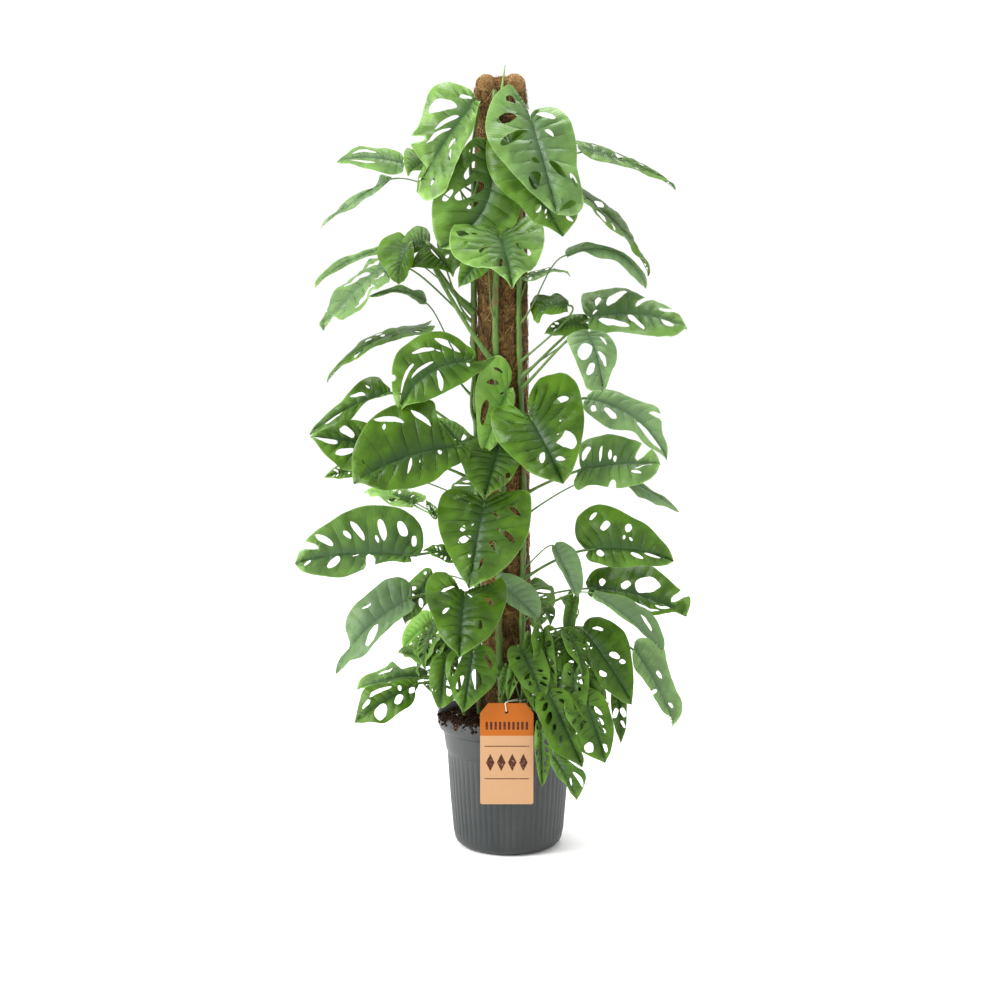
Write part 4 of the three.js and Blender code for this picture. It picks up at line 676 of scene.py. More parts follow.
        "right", 1045, (34, -35, 1086), (116, 15, 1092), (0, -0.3, 1), left=20, right=12, arch=10, cup=3,
        tone=1.5),
    "back_top": leafPlan(
        "back", 1090, (-70, 110, 1185), (-110, 195, 1080), (-0.3, 0.6, 0.7), left=54, right=52),
    "back_upper": leafPlan(
        "back", 900, (-20, 120, 975), (-25, 210, 870), (0, 0.7, 0.7), left=52, right=54),
    "back_centre": leafPlan(
        "back", 760, (50, 115, 840), (85, 205, 735), (0.2, 0.7, 0.7), half=54),
    "back_low": leafPlan(
        "back", 400, (35, 120, 480), (60, 205, 370), (0.1, 0.7, 0.7), left=50, right=52),
    "left_a": leafPlan(
        "shoot_left", 330, (-154, 20, 323), (-290, 0, 303), (-0.1, -0.5, 0.85), arch=8, cup=4, tone=1.3,
        leftRim=(-1, 11, 5, 19, 14, 22, 25, 21, 35, 23, 44, 46, 55, 32, 68, 27, 84, 27, 95, 16),
        rightRim=(2, 14, 10, 13, 20, 17, 32, 17, 42, 13, 53, 10, 64, 10, 75, 10, 87, 12, 95, 6),
        cuts=[(-1, 6.1, 55, 6.7, 75, 150), (1, 6, 20, 4.9, 50, 229)]),
    "left_b": leafPlan(
        "shoot_left", 350, (-140, 45, 355), (-215, 70, 360), (-0.2, -0.4, 0.9), left=30, right=28, arch=6,
        cup=3),
    "left_c": leafPlan(
        "shoot_left", 366, (-120, -66, 388), (-122, -76, 290), (-0.8, -0.4, 0.2), half=26, arch=6, cup=3),
    "front_a": leafPlan(
        "shoot_front", 350, (25, -125, 405), (65, -160, 315), (0.1, -0.8, 0.5), half=34, arch=8, cup=4),
    "front_b": leafPlan(
        "shoot_front", 320, (80, -128, 350), (98, -140, 262), (0.15, -0.9, 0.4), half=34, arch=8, cup=4),
    "front_pale_a": leafPlan(
        "shoot_front", 300, (21, -112, 398), (-3, -126, 306), (-0.2, -0.9, 0.4), left=13, right=15,
        arch=6, fold=14, cup=2, tone=0.5),
    "front_pale_b": leafPlan(
        "shoot_front", 300, (41, -106, 423), (28, -122, 324), (0.1, -0.9, 0.4), left=14, right=13, arch=6,
        fold=14, cup=2, tone=0.2),
    "front_pale_c": leafPlan(
        "shoot_front", 300, (-3, -104, 366), (-16, -112, 305), (-0.3, -0.9, 0.3), left=9, right=10,
        arch=6, fold=14, cup=2, tone=0.6),
    "left_mid_pale_small": leafPlan(
        "left", 760, (-79, -45, 769), (-133, -50, 829), (-0.2, -0.8, 0.5), left=24, right=22, arch=6,
        fold=10, cup=3, tone=1.6,
        holes=[(-1, 3.5, 50, 60, 70), (1, 4.5, 50, 60, 80)]),
    "front_c": leafPlan(
        "shoot_front", 290, (60, -152, 264), (62, -152, 150), (0, -0.95, 0.3), left=13, right=20, arch=6,
        cup=3, bend=(16, 0, 6)),
    "top_left_side": leafPlan(
        "left", 1215, (-137, -30, 1303), (-186, -40, 1274), (-0.3, -0.8, 0.5), arch=6, cup=3, tone=0.55,
        leftRim=(-10, 10, 3, 19, 19, 23, 31, 29, 42, 37, 51, 46, 64, 41, 76, 33, 87, 23, 94, 13),
        rightRim=(6, 11, 17, 19, 33, 22, 46, 20, 58, 13, 69, 9, 78, 6, 85, 5, 91, 3, 95, 3)),
    "top_left_low": leafPlan(
        "left", 1190, (-109, -60, 1292), (-168, -75, 1243), (-0.2, -0.9, 0.3), left=28, right=26, arch=5,
        cup=3, tone=0.35),
    "left_curl_round": leafPlan(
        "left", 1000, (-148, -60, 1147), (-191, -70, 1137), (-0.1, -0.8, 0.5), arch=6, fold=-10, cup=3,
        tone=-0.25,
        leftRim=(-17, 10, -27, 26, -24, 40, -8, 47, 17, 49, 42, 43, 62, 38, 78, 28, 92, 19, 97, 11),
        rightRim=(3, 5, 18, 9, 36, 11, 49, 12, 66, 12, 78, 12, 86, 11, 93, 9, 96, 6, 98, 3)),
    "left_curl_dark": leafPlan(
        "front", 925, (-147, -62, 1149), (-103, -85, 1097), (0.3, -0.9, 0.1), arch=5, cup=3, tone=-1,
        stalk=4.2,
        leftRim=(1, 10, 6, 25, 14, 39, 24, 51, 34, 59, 44, 48, 56, 36, 69, 25, 81, 15, 92, 7),
        rightRim=(3, 3, 12, 4, 25, 6, 37, 7, 50, 6, 64, 6, 75, 4, 84, 4, 93, 4, 97, 2),
        cuts=[(-1, 3.7, 6, 6.1, 15, 260)]),
    "heart_under": leafPlan(
        "front", 1010, (-45, -70, 1129), (-92, -95, 1071), (-0.1, -0.9, 0.4), left=25, right=27, arch=6,
        cup=3,
        holes=[(-1, 4.5, 50, 50, 60)]),
    "right_curl_back": leafPlan(
        "right", 905, (137, -40, 1004), (64, -30, 983), (-0.1, -0.8, 0.5), left=22, right=20, arch=8,
        fold=-12, cup=3, tone=-0.3),
    "left_mid_small": leafPlan(
        "left", 655, (-285, -30, 729), (-344, -40, 715), (-0.1, -0.8, 0.5), half=15, arch=4, cup=2,
        tone=0.3),
    "left_mid_pale_b": leafPlan(
        "left", 585, (-185, 30, 662), (-238, 60, 661), (0, -0.5, 0.9), half=22, arch=6, cup=2, tone=0.3),
    "left_low_small": leafPlan(
        "left", 500, (-106, -40, 564), (-158, -50, 581), (0, -0.7, 0.7), left=18, right=16, arch=5, cup=2,
        tone=0.2),
    "left_low_bract": leafPlan(
        "left", 560, (-134, -50, 643), (-154, -50, 673), (-0.2, -0.9, 0.3), half=9, arch=3, cup=1,
        tone=0.2),
    "left_pot_bright": leafPlan(
        "shoot_left", 340, (-144, -60, 371), (-202, -60, 386), (0, -0.6, 0.8), arch=5, cup=2, tone=1.3,
        leftRim=(3, 8, 16, 17, 33, 19, 52, 18, 71, 15, 85, 11, 93, 8, 99, 7, 101, 5, 101, 4),
        rightRim=(0, 11, 11, 20, 23, 24, 37, 22, 51, 18, 66, 13, 75, 11, 85, 10, 92, 7, 96, 2),
        cuts=[(1, 7.1, 10, 3.2, 40, 260)]),
    "left_pot_slim": leafPlan(
        "shoot_left", 362, (-120, -90, 410), (-132, -95, 283), (-0.2, -0.95, 0.2), left=19, right=16,
        arch=6, cup=2, tone=-0.1),
    "left_pot_round": leafPlan(
        "front", 335, (-116, -110, 397), (-127, -130, 296), (0.1, -0.95, 0.3), arch=7, cup=4, tone=0.1,
        leftRim=(-2, 6, 3, 15, 14, 23, 29, 27, 47, 27, 64, 23, 78, 18, 87, 13, 94, 9, 99, 4),
        rightRim=(-1, 5, 9, 10, 20, 9, 34, 13, 48, 20, 61, 25, 76, 29, 85, 22, 91, 14, 98, 7),
        cuts=[(1, 4.6, 6, 6.9, 75, 260), (-1, 6.2, 60, 5.5, 95, 59)]),
    "pot_mass_a": leafPlan(
        "right", 290, (72, -150, 335), (136, -185, 197), (0.1, -0.9, 0.4), arch=8, fold=12, cup=5,
        tone=-0.63,
        leftRim=(-2, 9, 0, 23, 9, 34, 21, 39, 35, 41, 48, 42, 59, 42, 70, 38, 80, 26, 90, 12),
        rightRim=(0, 10, 4, 22, 11, 31, 22, 33, 34, 28, 45, 20, 56, 14, 68, 11, 80, 9, 91, 8),
        cuts=[(-1, 1.5, 25, 1.8, 75, 60), (-1, 2.6, 30, 3, 70, 70), (-1, 3.8, 30, 4.2, 80, 80),
            (-1, 5, 35, 5.5, 75, 70), (-1, 6.4, 30, 6.9, 70, 70), (1, 1.4, 40, 1.9, 75, 60),
            (1, 2.8, 30, 3.4, 70, 70), (1, 4.4, 30, 4.8, 70, 80), (1, 6, 30, 6.4, 70, 90)]),
    "pot_mass_b": leafPlan(
        "right", 330, (34, -125, 382), (94, -165, 250), (0.3, -0.9, 0.4), left=34, right=30, arch=8,
        fold=14, cup=5, tone=-0.5),
    "pot_mass_c": leafPlan(
        "right", 350, (62, -105, 425), (86, -140, 302), (-0.3, -0.9, 0.3), left=18, right=20, arch=8,
        fold=10, cup=3),
    "pot_mass_d": leafPlan(
        "right", 360, (149, -60, 417), (60, -90, 393), (0, -0.6, 0.8), half=30, arch=9, cup=4, tone=-0.4),
    "pot_mass_e": leafPlan(
        "right", 345, (99, -90, 416), (169, -120, 305), (0.1, -0.85, 0.5), half=38, arch=8, cup=4,
        tone=-0.2,
        holes=[(1, 3.5, 50, 70, 80), (1, 5.5, 50, 70, 80), (-1, 2.5, 50, 60, 80),
            (-1, 4.5, 50, 70, 80), (-1, 6.5, 50, 60, 80)]),
    "pot_mass_f": leafPlan(
        "right", 300, (122, -130, 364), (113, -150, 237), (-0.1, -0.95, 0.3), left=26, right=28, arch=8,
        cup=4, tone=-0.2),
    "pot_blue_slim": leafPlan(
        "right", 440, (121, -60, 490), (109, -75, 397), (-0.3, -0.9, 0.3), half=13, arch=5, fold=10,
        cup=1, tone=-0.1,
        holes=[]),
    "pot_skeleton": leafPlan(
        "right", 330, (205, -80, 310), (211, -95, 218), (0.1, -0.95, 0.2), half=15, arch=4, fold=6, cup=1,
        tone=0.1,
        holes=[(1, 4.5, 55, 80, 125), (-1, 4.5, 55, 80, 125), (1, 6.5, 50, 70, 80)]),
}

# the crowd of small leaves round the foot of the pole, too many to draw one by one
crowds = {
    "foot_right": {
        "count": 13, "stem": "shoot_front", "x": (62, 150), "y": (-150, -70), "z": (285, 440),
    },
    "foot_left": {
        "count": 7, "stem": "shoot_left", "x": (-175, -70), "y": (-110, -20), "z": (330, 450),
    },
    "foot_back": {"count": 8, "stem": "back", "x": (-110, 120), "y": (60, 130), "z": (330, 460)},
}
crowdForm = {
    "at": (285, 360), "half": 27, "size": (0.7, 1.25), "out": (10, 45), "aside": (-22, 22),
    "drop": (-78, -45), "turnX": (-0.4, 0.4), "turnY": (-0.3, 0.3), "faceUp": 0.6, "arch": 7,
    "tone": (-0.6, 0.5), "fold": (4, 16), "cup": 4,
}
crowdLuck = random.Random(12)


def byLuck(key):
    return crowdLuck.uniform(*crowdForm[key])


for name, crowd in crowds.items():
    for n in range(crowd["count"]):
        base = Vector([crowdLuck.uniform(*crowd[axis]) for axis in "xyz"])
        out = Vector((base.x, base.y, 0)).normalized()
        size = byLuck("size")
        hang = out * byLuck("out") + Vector((byLuck("aside"), 0, byLuck("drop")))
        leaves["%s_%d" % (name, n)] = leafPlan(
            crowd["stem"], byLuck("at"), tuple(base), tuple(base + hang * size),
            (out.x + byLuck("turnX"), out.y + byLuck("turnY"), crowdForm["faceUp"]),
            half=crowdForm["half"] * size, arch=crowdForm["arch"], tone=byLuck("tone"),
            fold=byLuck("fold"), cup=crowdForm["cup"])


# A blade is drawn flat along its side veins. phase counts the side veins from the stalk (0)
# to the tip (10), and share runs from the midrib (0) to the margin (1).
# columns: where the vein leaves the midrib, where it meets the margin (both as a share of the
# blade's length), the blade's half width there, and how the vein bends
veinRows = [
    (0.03, -0.135, 0.4, 0.45), (0.05, -0.095, 0.74, 0.9), (0.09, 0.035, 0.94, 1.2),
    (0.17, 0.2, 1, 1.4), (0.27, 0.36, 0.985, 1.4), (0.38, 0.5, 0.905, 1.4),
    (0.49, 0.625, 0.77, 1.4), (0.6, 0.74, 0.59, 1.4), (0.71, 0.84, 0.385, 1.4),
    (0.82, 0.925, 0.18, 1.4), (1, 1, 0, 1.4),
]
veinCount = len(veinRows) - 1
curveSteps = 40
bladeForm = {
    "thick": 0.7, "bulge": 3.3, "groove": 2.1, "wave": 4.6, "ragged": 0.07, "raggedDrawn": 0.0175,
    "crease": 5.8, "creasePitch": 38, "pucker": 2.1, "puckerPitch": 11, "tipFrom": 0.86, "tipDrop": 160,
    "outlineStep": 0.2, "offsets": (0, 0.12, 0.3, 0.5, 0.7, 0.88), "toneLuck": 0.25, "fullWidth": 140,
    "shares": (0.07, 0.16, 0.28, 0.4, 0.52, 0.64, 0.76, 0.87, 0.95), "clear": 0.06, "smooth": 40,
}
holeForm = {
    "points": 20, "margin": 0.94, "heart": 0.07, "grow": 1.14, "chance": 0.58, "veins": range(1, 8),
    "phase": (0.4, 0.6), "share": (0.4, 0.68), "reach": (0.2, 0.72), "narrow": 0.4, "wide": (0.5, 0.4),
    "second": 0.3, "small": (0.5, 0.2, 0.16, 0.3), "torn": 1.12, "tornFrom": 5, "widest": (0.88, 1.25),
    "shortest": 0.07, "apart": 0.1, "between": 0.04, "uneven": 0.3,
}
# the edge of a slit, from margin to margin: share of its half width, and of its depth
slitEdge = (
    (-1, 0), (-0.8, 0.3), (-0.75, 0.6), (-0.5, 0.86), (0, 1),
    (0.5, 0.86), (0.7, 0.6), (0.62, 0.3), (0.72, 0),
)
heartShares = (0.12, 0.3, 0.5, 0.7, 0.87)


def marginCurve(plan, side):
    # a margin follows its rim where one is drawn, and is a plain heart otherwise
    rim = plan.get("rightRim" if side > 0 else "leftRim", ())
    half = plan["right"] if side > 0 else plan["left"]
    rows = []
    for k, (mid, edge, width, bend) in enumerate(veinRows):
        if 2 * k < len(rim):
            rows.append(Vector((mid, rim[2 * k] / 100, rim[2 * k + 1], bend)))
        else:
            rows.append(Vector((mid, edge * plan["lobe"] if edge < 0 else edge, width * half, bend)))
    return smoothLine(rows, curveSteps)


veinCurve = smoothLine([Vector(row) for row in veinRows], curveSteps)


def veinRow(curve, phase):
    place = max(0.0, min(phase, veinCount)) * curveSteps
    low = min(int(place), len(curve) - 2)
    return curve[low].lerp(curve[low + 1], place - low)


def flatPoint(plan, side, phase, share):
    mid, edge, width, bend = veinRow(plan["curves"][side > 0], phase)
    t = mid + (edge - mid) * share ** bend if share > 0 else mid
    return t, side * width * share


def leafFrame(plan):
    base = Vector(plan["base"])
    along = Vector(plan["tip"]) - base
    length = along.length
    along.normalize()
    up = Vector(plan["face"])
    up = (up - along * up.dot(along)).normalized()
    return base, along, up, up.cross(along), length


def leafPoint(plan, axes, t, across, lift=0):
    base, along, up, side, length = axes
    half = plan["right"] if across > 0 else plan["left"]
    curve = 4 * t * (1 - t) if t >= 0 else 2 * t
    fold = math.radians(plan["fold"])
    lift += plan["arch"] * curve + abs(across) * math.sin(fold) - plan["cup"] * (across / half) ** 2
    if t > bladeForm["tipFrom"]:
        lift -= bladeForm["tipDrop"] * (t - bladeForm["tipFrom"]) ** 2  # the drip tip turns down
    sideways = across * math.cos(fold) + plan["bow"] * curve
    return base + along * length * t + up * lift + side * sideways


def tidyHoles(plan, luck):
    # holes lie between two side veins, clear of the midrib, the margin and each other
    if "cuts" in plan:
        return plan["cuts"]
    holes = plan.get("holes")
    if holes is None:
        holes = []
        for side in (-1, 1):
            for k in holeForm["veins"]:
                if luck.random() < holeForm["chance"]:
                    reach = luck.uniform(*holeForm["reach"])
                    phase = k + luck.uniform(*holeForm["phase"])
                    share = luck.uniform(*holeForm["share"])
                    widest = holeForm["wide"][0] + holeForm["wide"][1] * reach
                    holes.append((side, phase, share, reach, luck.uniform(holeForm["narrow"], widest)))
                    if luck.random() < holeForm["second"]:
                        phase, share, length, width = holeForm["small"]
                        holes.append((side, k + phase, share, length, width))
    kept = []
    for side, phase, share, length, width in sorted(holes, key=lambda h: -h[3] * h[4]):
        length *= holeForm["grow"]
        low = max(share - length / 2, holeForm["heart"])
        high = min(share + length / 2, holeForm["margin"])
        if share + length / 2 > holeForm["torn"] and phase > holeForm["tornFrom"]:
            high = 1.0
        width = min(width * holeForm["grow"], holeForm["widest"][width > 1])
        gap = holeForm["between"]
        clash = any(
            side == s and abs(phase - p) < (width + w) / 2 + holeForm["apart"]
            and low < b + gap and a < high + gap for s, p, a, q, b, w in kept)
        if high - low > holeForm["shortest"] and not clash:
            kept.append((side, phase, low, phase, high, width))
    return kept


def inHole(hole, side, phase, share, margin):
    s, first, low, last, high, width = hole
    if side != 0 and s != side:
        return False
    reach = (high - low) / 2
    along = min(1, max(0, (share - low) / (high - low)))
    return (((phase - spread(first, last, along)) / (width / 2 + margin)) ** 2
            + ((share - (low + high) / 2) / (reach + margin * 0.7)) ** 2 < 1)


def holeRim(hole):
    # a lens, a little uneven, as no two of the real ones are alike
    side, first, low, last, high, width = hole
    count = holeForm["points"]
    rim = []
    for i in range(count):
        turn = 2 * math.pi * i / count
        spot = Vector((math.cos(turn) * 1.3, math.sin(turn) * 1.3, first * 3.1 + low * 7))
        wobble = noise.noise(spot)
        across = math.sin(turn) * abs(math.sin(turn)) ** 0.25 * (1.02 + holeForm["uneven"] * wobble)
        along = (1 - math.cos(turn)) / 2
        rim.append((side, spread(first, last, along) + width / 2 * across, spread(low, high, along)))
    return rim


def outlineOf(slits):
    # a slit is a hole that has torn open to the margin
    step = bladeForm["outlineStep"]
    halves = {}
    for side in (-1, 1):
        half = [(0, share) for share in heartShares]
        half += [(i * step, 1) for i in range(int(veinCount / step))]
        for s, first, low, last, high, width in slits:
            if s == side:
                near = width / 2 + bladeForm["clear"]
                half = [p for p in half if p[1] < 1 or abs(p[0] - last) > near]
                cut = [(spread(last, first, b) + width / 2 * a, spread(1, low, b)) for a, b in slitEdge]
                before = [p for p in half if p[1] < 1 or p[0] < last]
                half = before + cut + [p for p in half if p not in before]
        halves[side] = [(side, p, s) for p, s in half]
    return [(0, 0, 0)] + halves[1] + [(0, veinCount, 0)] + halves[-1][::-1]


def bladeMesh(name, plan, axes, upper, under):
    luck = random.Random(zlib.crc32(name.encode()))
    holes = tidyHoles(plan, luck)
    outline = outlineOf([hole for hole in holes if hole[4] == 1])
    spots = list(outline)
    loops = [list(range(len(outline)))]
    for hole in holes:
        if hole[4] == 1:
            continue
        rim = holeRim(hole)
        loops.append(list(range(len(spots), len(spots) + len(rim))))
        spots += rim
    rimCount = len(spots)
    for k in range(veinCount):
        for offset in bladeForm["offsets"]:
            phase = k + offset
            if phase > 0:
                spots.append((0, phase, 0))
            narrow = veinRow(veinCurve, phase)[2]
            shares = bladeForm["shares"] if narrow > 0.5 else bladeForm["shares"][1::2]
            if k == veinCount - 1:
                shares = (0.5,) if offset < 0.6 else ()
            for share in shares:
                for side in (-1, 1):
                    if not any(inHole(hole, side, phase, share, bladeForm["clear"]) for hole in holes):
                        spots.append((side, phase, share))
    length = axes[4]
    size = (plan["left"] + plan["right"]) / bladeForm["fullWidth"]
    drift = luck.uniform(0, 50)
    rough = bladeForm["raggedDrawn" if "leftRim" in plan else "ragged"]
    flats = []
    for side, phase, share in spots:
        t, across = flatPoint(plan, side, phase, share)
        ragged = 1 + rough * noise.noise(Vector((phase * 0.7, side * 4 + drift, 0)))
        flats.append((across * ragged, t * length))
    made = geometry.delaunay_2d_cdt([Vector(f) for f in flats], [], loops, 2, 0.05)
    places, faces, origins = made[0], made[2], made[3]
    waves = [(luck.uniform(0, 6.28), luck.uniform(0.7, 1.5)) for side in range(2)]
    points, veins, flatPlaces = [], [], []
    for place, origin in zip(places, origins):
        # a corner the cut had to add takes the values of the spot next to it
        nearest = origin[0] if origin else min(
            range(len(flats)), key=lambda i: (Vector(flats[i]) - place).length)
        side, phase, share = spots[nearest]
        isRim = nearest < len(outline) and share > 0.1
        bulge = bladeForm["bulge"] * math.sin(math.pi * (phase % 1)) ** 0.7
        bulge *= math.sin(math.pi * min(share, 1)) ** 0.7
        groove = bladeForm["groove"] * math.exp(-(place.x / 4) ** 2)
        turn, speed = waves[0 if side < 0 else 1]
        ripple = bladeForm["wave"] * share ** 3 * math.sin(turn + phase * speed * 1.6)
        pitch = bladeForm["creasePitch"]
        crease = noise.noise(Vector((place.x / pitch, place.y / pitch, drift)))
        crease *= bladeForm["crease"] * min(1, share * 2.5)
        pitch = bladeForm["puckerPitch"]
        pucker = noise.noise(Vector((place.x / pitch, place.y / pitch, drift + 5)))
        crease += pucker * bladeForm["pucker"] * min(1, share * 4)
        lift = (bulge + ripple + crease) * min(1.25, max(0.4, size)) - groove
        points.append(leafPoint(plan, axes, place.y / length, place.x, lift))
        edge = 1.0 if isRim else (0.55 if nearest < rimCount else 0.0)
        veins.append((phase, share, edge))
        flatPlaces.append((place.x * mm, place.y * mm, drift))
    faces = [f for f in faces if len(f) >= 3]
    piece = meshPiece(name, points, faces, upper, under)
    setAttribute(piece, "vein", "FLOAT_VECTOR", veins)
    setAttribute(piece, "flat", "FLOAT_VECTOR", flatPlaces)
    # a leaf's tone is partly its own colour and partly painted light and shade, high for lit leaves and
    # low for shaded ones
    tone = plan["tone"] + luck.uniform(-bladeForm["toneLuck"], bladeForm["toneLuck"])
    setAttribute(piece, "tone", "FLOAT", [tone] * len(points))
    # the share of painted sky reflection mixed into this leaf's colour
    setAttribute(piece, "cool", "FLOAT", [plan["cool"]] * len(points))
    normal = sum((f.normal * f.area for f in piece.data.polygons), Vector())
    if normal.dot(axes[2]) < 0:
        piece.data.flip_normals()
    wall = piece.modifiers.new("wall", "SOLIDIFY")
    wall.thickness = bladeForm["thick"] * mm
    wall.offset = 0
    wall.material_offset = 1
    wall.material_offset_rim = 1
    applyAll(piece)
    selectOnly(piece)
    bpy.ops.object.shade_smooth_by_angle(angle=math.radians(bladeForm["smooth"]))
    return piece


stalkForm = {
    "foot": 1.7, "base": 1.05, "top": 0.85, "steps": 26, "outward": 0.5, "aim": 0.5, "rise": 0.7,
    "first": 0.35, "back": 0.25, "under": 0.12, "start": 0.05, "into": 1.8, "smallBlade": 36,
    "small": 0.75, "sheath": 0.3, "knee": 0.22, "kneeAt": 0.93, "kneeLength": 0.05,
    "midrib": (0.1, 0.18, 0.28, 0.4, 0.52, 0.64, 0.76, 0.87, 0.95), "midribFrom": 0.62,
    "midribTo": 0.45,
}


def stalkLine(plan, axes):
    base, along, up, side, length = axes
    start = stalkStart(plan)
    end = leafPoint(plan, axes, stalkForm["start"], 0, -stalkForm["into"])
    reach = (end - start).length
    outward = start - poleAxis(start.z)
    outward.z = 0
    ahead = end - start
    ahead.z = 0
    leave = outward.normalized() * stalkForm["outward"] + ahead.normalized() * stalkForm["aim"]
    leave.z = stalkForm["rise"]
    first = start + leave.normalized() * reach * stalkForm["first"]
    second = end - along * reach * stalkForm["back"] - up * reach * stalkForm["under"]
    second += Vector(plan["bend"])
    line = []
    for i in range(stalkForm["steps"] + 1):
        t = i / stalkForm["steps"]
        line.append(start * (1 - t) ** 3 + first * 3 * t * (1 - t) ** 2
                    + second * 3 * t * t * (1 - t) + end * t ** 3)
    return line


def stalkPiece(name, plan, axes, material):
    # the stalk with its sheath at the foot, running on as the midrib under the blade
    radius = plan["stalk"]
    if plan["left"] < stalkForm["smallBlade"]:
        radius *= stalkForm["small"]
    points = stalkLine(plan, axes)
    count = len(points)
    radii = []
    for i in range(count):
        share = i / (count - 1)
        sheath = stalkForm["foot"] * max(0, 1 - share / stalkForm["sheath"]) ** 2
        fromKnee = (share - stalkForm["kneeAt"]) / stalkForm["kneeLength"]
        swell = sheath * 0.5 + stalkForm["knee"] * math.exp(-fromKnee ** 2)
        radii.append(radius * (spread(stalkForm["base"], stalkForm["top"], share) + swell))
    for t in stalkForm["midrib"]:
        thin = spread(radius * stalkForm["midribFrom"], stalkForm["midribTo"], t)
        points.append(leafPoint(plan, axes, t, 0, -bladeForm["groove"] - thin * 0.75))
        radii.append(thin)
    return tube(name + "_stalk", points, radii, material, 2)


greens = {"leaf": (leafUpper, leafUnder, stalkGreen), "young_leaf": (newUpper, newUnder, newStalkGreen)}
leafPieces = {}
for name, plan in leaves.items():
    axes = leafFrame(plan)
    plan["curves"] = [marginCurve(plan, side) for side in (-1, 1)]
    upper, under, stalkSkin = greens[plan["slot"]]
    blade = bladeMesh(name + "_blade", plan, axes, upper, under)
    leaf = joinPieces(blade, [stalkPiece(name, plan, axes, stalkSkin)])
    leaf.name = name + "_grown"
    # a leaf that the frame has no node for is an added one
    placePiece(leaf, plan["slot"], *([name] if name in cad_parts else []))
    leafPieces[name] = leaf
leafFaces = sum(len(p.data.polygons) for p in leafPieces.values())
print("leaves:", len(leafPieces), "pieces,", leafFaces, "faces")

# Climbing stems, with a swollen ring where each leaf grew, and roots that hold the coir
stemForm = {
    "foot": 205, "step": 7, "taper": 0.25, "thin": 0.97, "tip": 0.5, "firstRing": 30, "ringPitch": 62,
    "ringSize": 0.32, "ringWidth": 5,
}
rootForm = {
    "length": 95, "luck": (0.5, 1.2), "turn": (0.35, 0.75), "radius": 1.2, "end": 0.45, "steps": 14,
    "sag": 4, "lowest": 262, "off": 1.4,
}
# the rolled new leaf that stands up over the pole
spear = {
    "from": 1413, "line": [(-16, -56, 1405), (-12, -58, 1430), (-7, -62, 1468)],
    "radius": 4.2, "tip": 0.7,
}
shootForm = {"radius": 4.5, "taper": 0.35, "ring": 300, "ringSize": 0.25, "ringWidth": 5}


def rootLine(name, ring, sign, k, luck):
    # an aerial root goes round the pole and down, from the stem on to the coir
    start = stemPoint(name, ring)
    angle = math.atan2(start.y, start.x - poleAxis(ring).x)
    turn = sign * luck.uniform(*rootForm["turn"])
    length = rootForm["length"] * luck.uniform(*rootForm["luck"])
    line, thick = [], []
    for i in range(rootForm["steps"] + 1):
        t = i / rootForm["steps"]
        h = ring - length * t - rootForm["sag"] * math.sin(t * 9)
        if h < rootForm["lowest"]:
            break
        a = angle + turn * t ** 0.8 + 0.03 * math.sin(t * 14 + k)
        r = pole["radius"] + spread(stems[name]["radius"], rootForm["off"], min(1, t * 4))
        line.append(poleAxis(h) + Vector((math.cos(a) * r, math.sin(a) * r, 0)))
        thick.append(spread(rootForm["radius"], rootForm["end"], t))
    return line, thick


def stemPieceOf(name, luck):
    stem = stems[name]
    count = int((stem["top"] - stemForm["foot"]) / stemForm["step"])
    rings = []
    height = stemForm["foot"] + stemForm["firstRing"]
    while height < stem["top"] - 10:
        rings.append(height)
        height += stemForm["ringPitch"] * luck.uniform(0.8, 1.2)
    points, radii = [], []
    for i in range(count + 1):
        share = i / count
        height = spread(stemForm["foot"], stem["top"], share)
        swell = sum(math.exp(-((height - ring) / stemForm["ringWidth"]) ** 2) for ring in rings)
        thick = stem["radius"] * (1 - stemForm["taper"] * share) * stemForm["thin"]
        points.append(stemPoint(name, height))
        radii.append(thick * (1 + stemForm["ringSize"] * swell))
    radii[-1] *= stemForm["tip"]
    piece = tube("stem_" + name + "_grown", points, radii, stemGreen, 4)
    roots = []
    for k, ring in enumerate(rings[::2]):
        for sign in (-1, 1):
            line, thick = rootLine(name, ring, sign, k, luck)
            if len(line) > 4:
                roots.append(tube("root", line, thick, rootBrown, 1))
    return joinPieces(piece, roots)


stemLuck = random.Random(7)
for name in stems:
    piece = stemPieceOf(name, stemLuck)
    if name == "front":
        line = smoothLine([tuple(stemPoint("front", spear["from"])), *spear["line"]], 8)
        last = len(line) - 1
        radii = [spread(spear["radius"], spear["tip"], (i / last) ** 1.6) for i in range(last + 1)]
        piece = joinPieces(piece, [tube("spear", line, radii, newStalkGreen, 2)])
    placePiece(piece, "stem", "stem_" + name)
for name, line in shootLines.items():
    radii = []
    for i, place in enumerate(line):
        swell = math.exp(-((place.z - shootForm["ring"]) / shootForm["ringWidth"]) ** 2)
        thick = shootForm["radius"] * (1 - shootForm["taper"] * i / (len(line) - 1))
        radii.append(thick * (1 + shootForm["ringSize"] * swell))
    placePiece(tube(name + "_grown", line, radii, stalkGreen, 3), "stem", name)
print("stems and shoots done")

# Coir: coconut husk fibre, needled into a mat and rolled up. It is matt, and single stiff
# fibres from straw to dark brown cross each other and stand off the wall.
coir = {
    "dark": "#2a1c0b", "middle": "#8f6d3d", "light": "#cda878", "straw": "#c8a26c",
    "core": 15, "steps": 120, "rowHeight": 7, "rough": 2.2, "broad": 1.6, "bottom": 262,
    "fibres": 5000, "fibreLength": (12, 40), "fibreRadius": (0.2, 0.45), "standOff": 3.0,
    "stray": (-0.3, 0.5), "rollFibres": 1700, "rollFibreLength": (8, 26),
    "rollFibreRadius": (0.25, 0.5), "rollStray": (-0.3, 1.2),
    "wadFibres": 600, "wadSteps": (-9, -4, 0, 4, 9),
    "frayFibres": 190, "frayAngle": (-0.9, 0.4), "frayHeight": (1386, 1432), "frayLength": (3, 9),
}


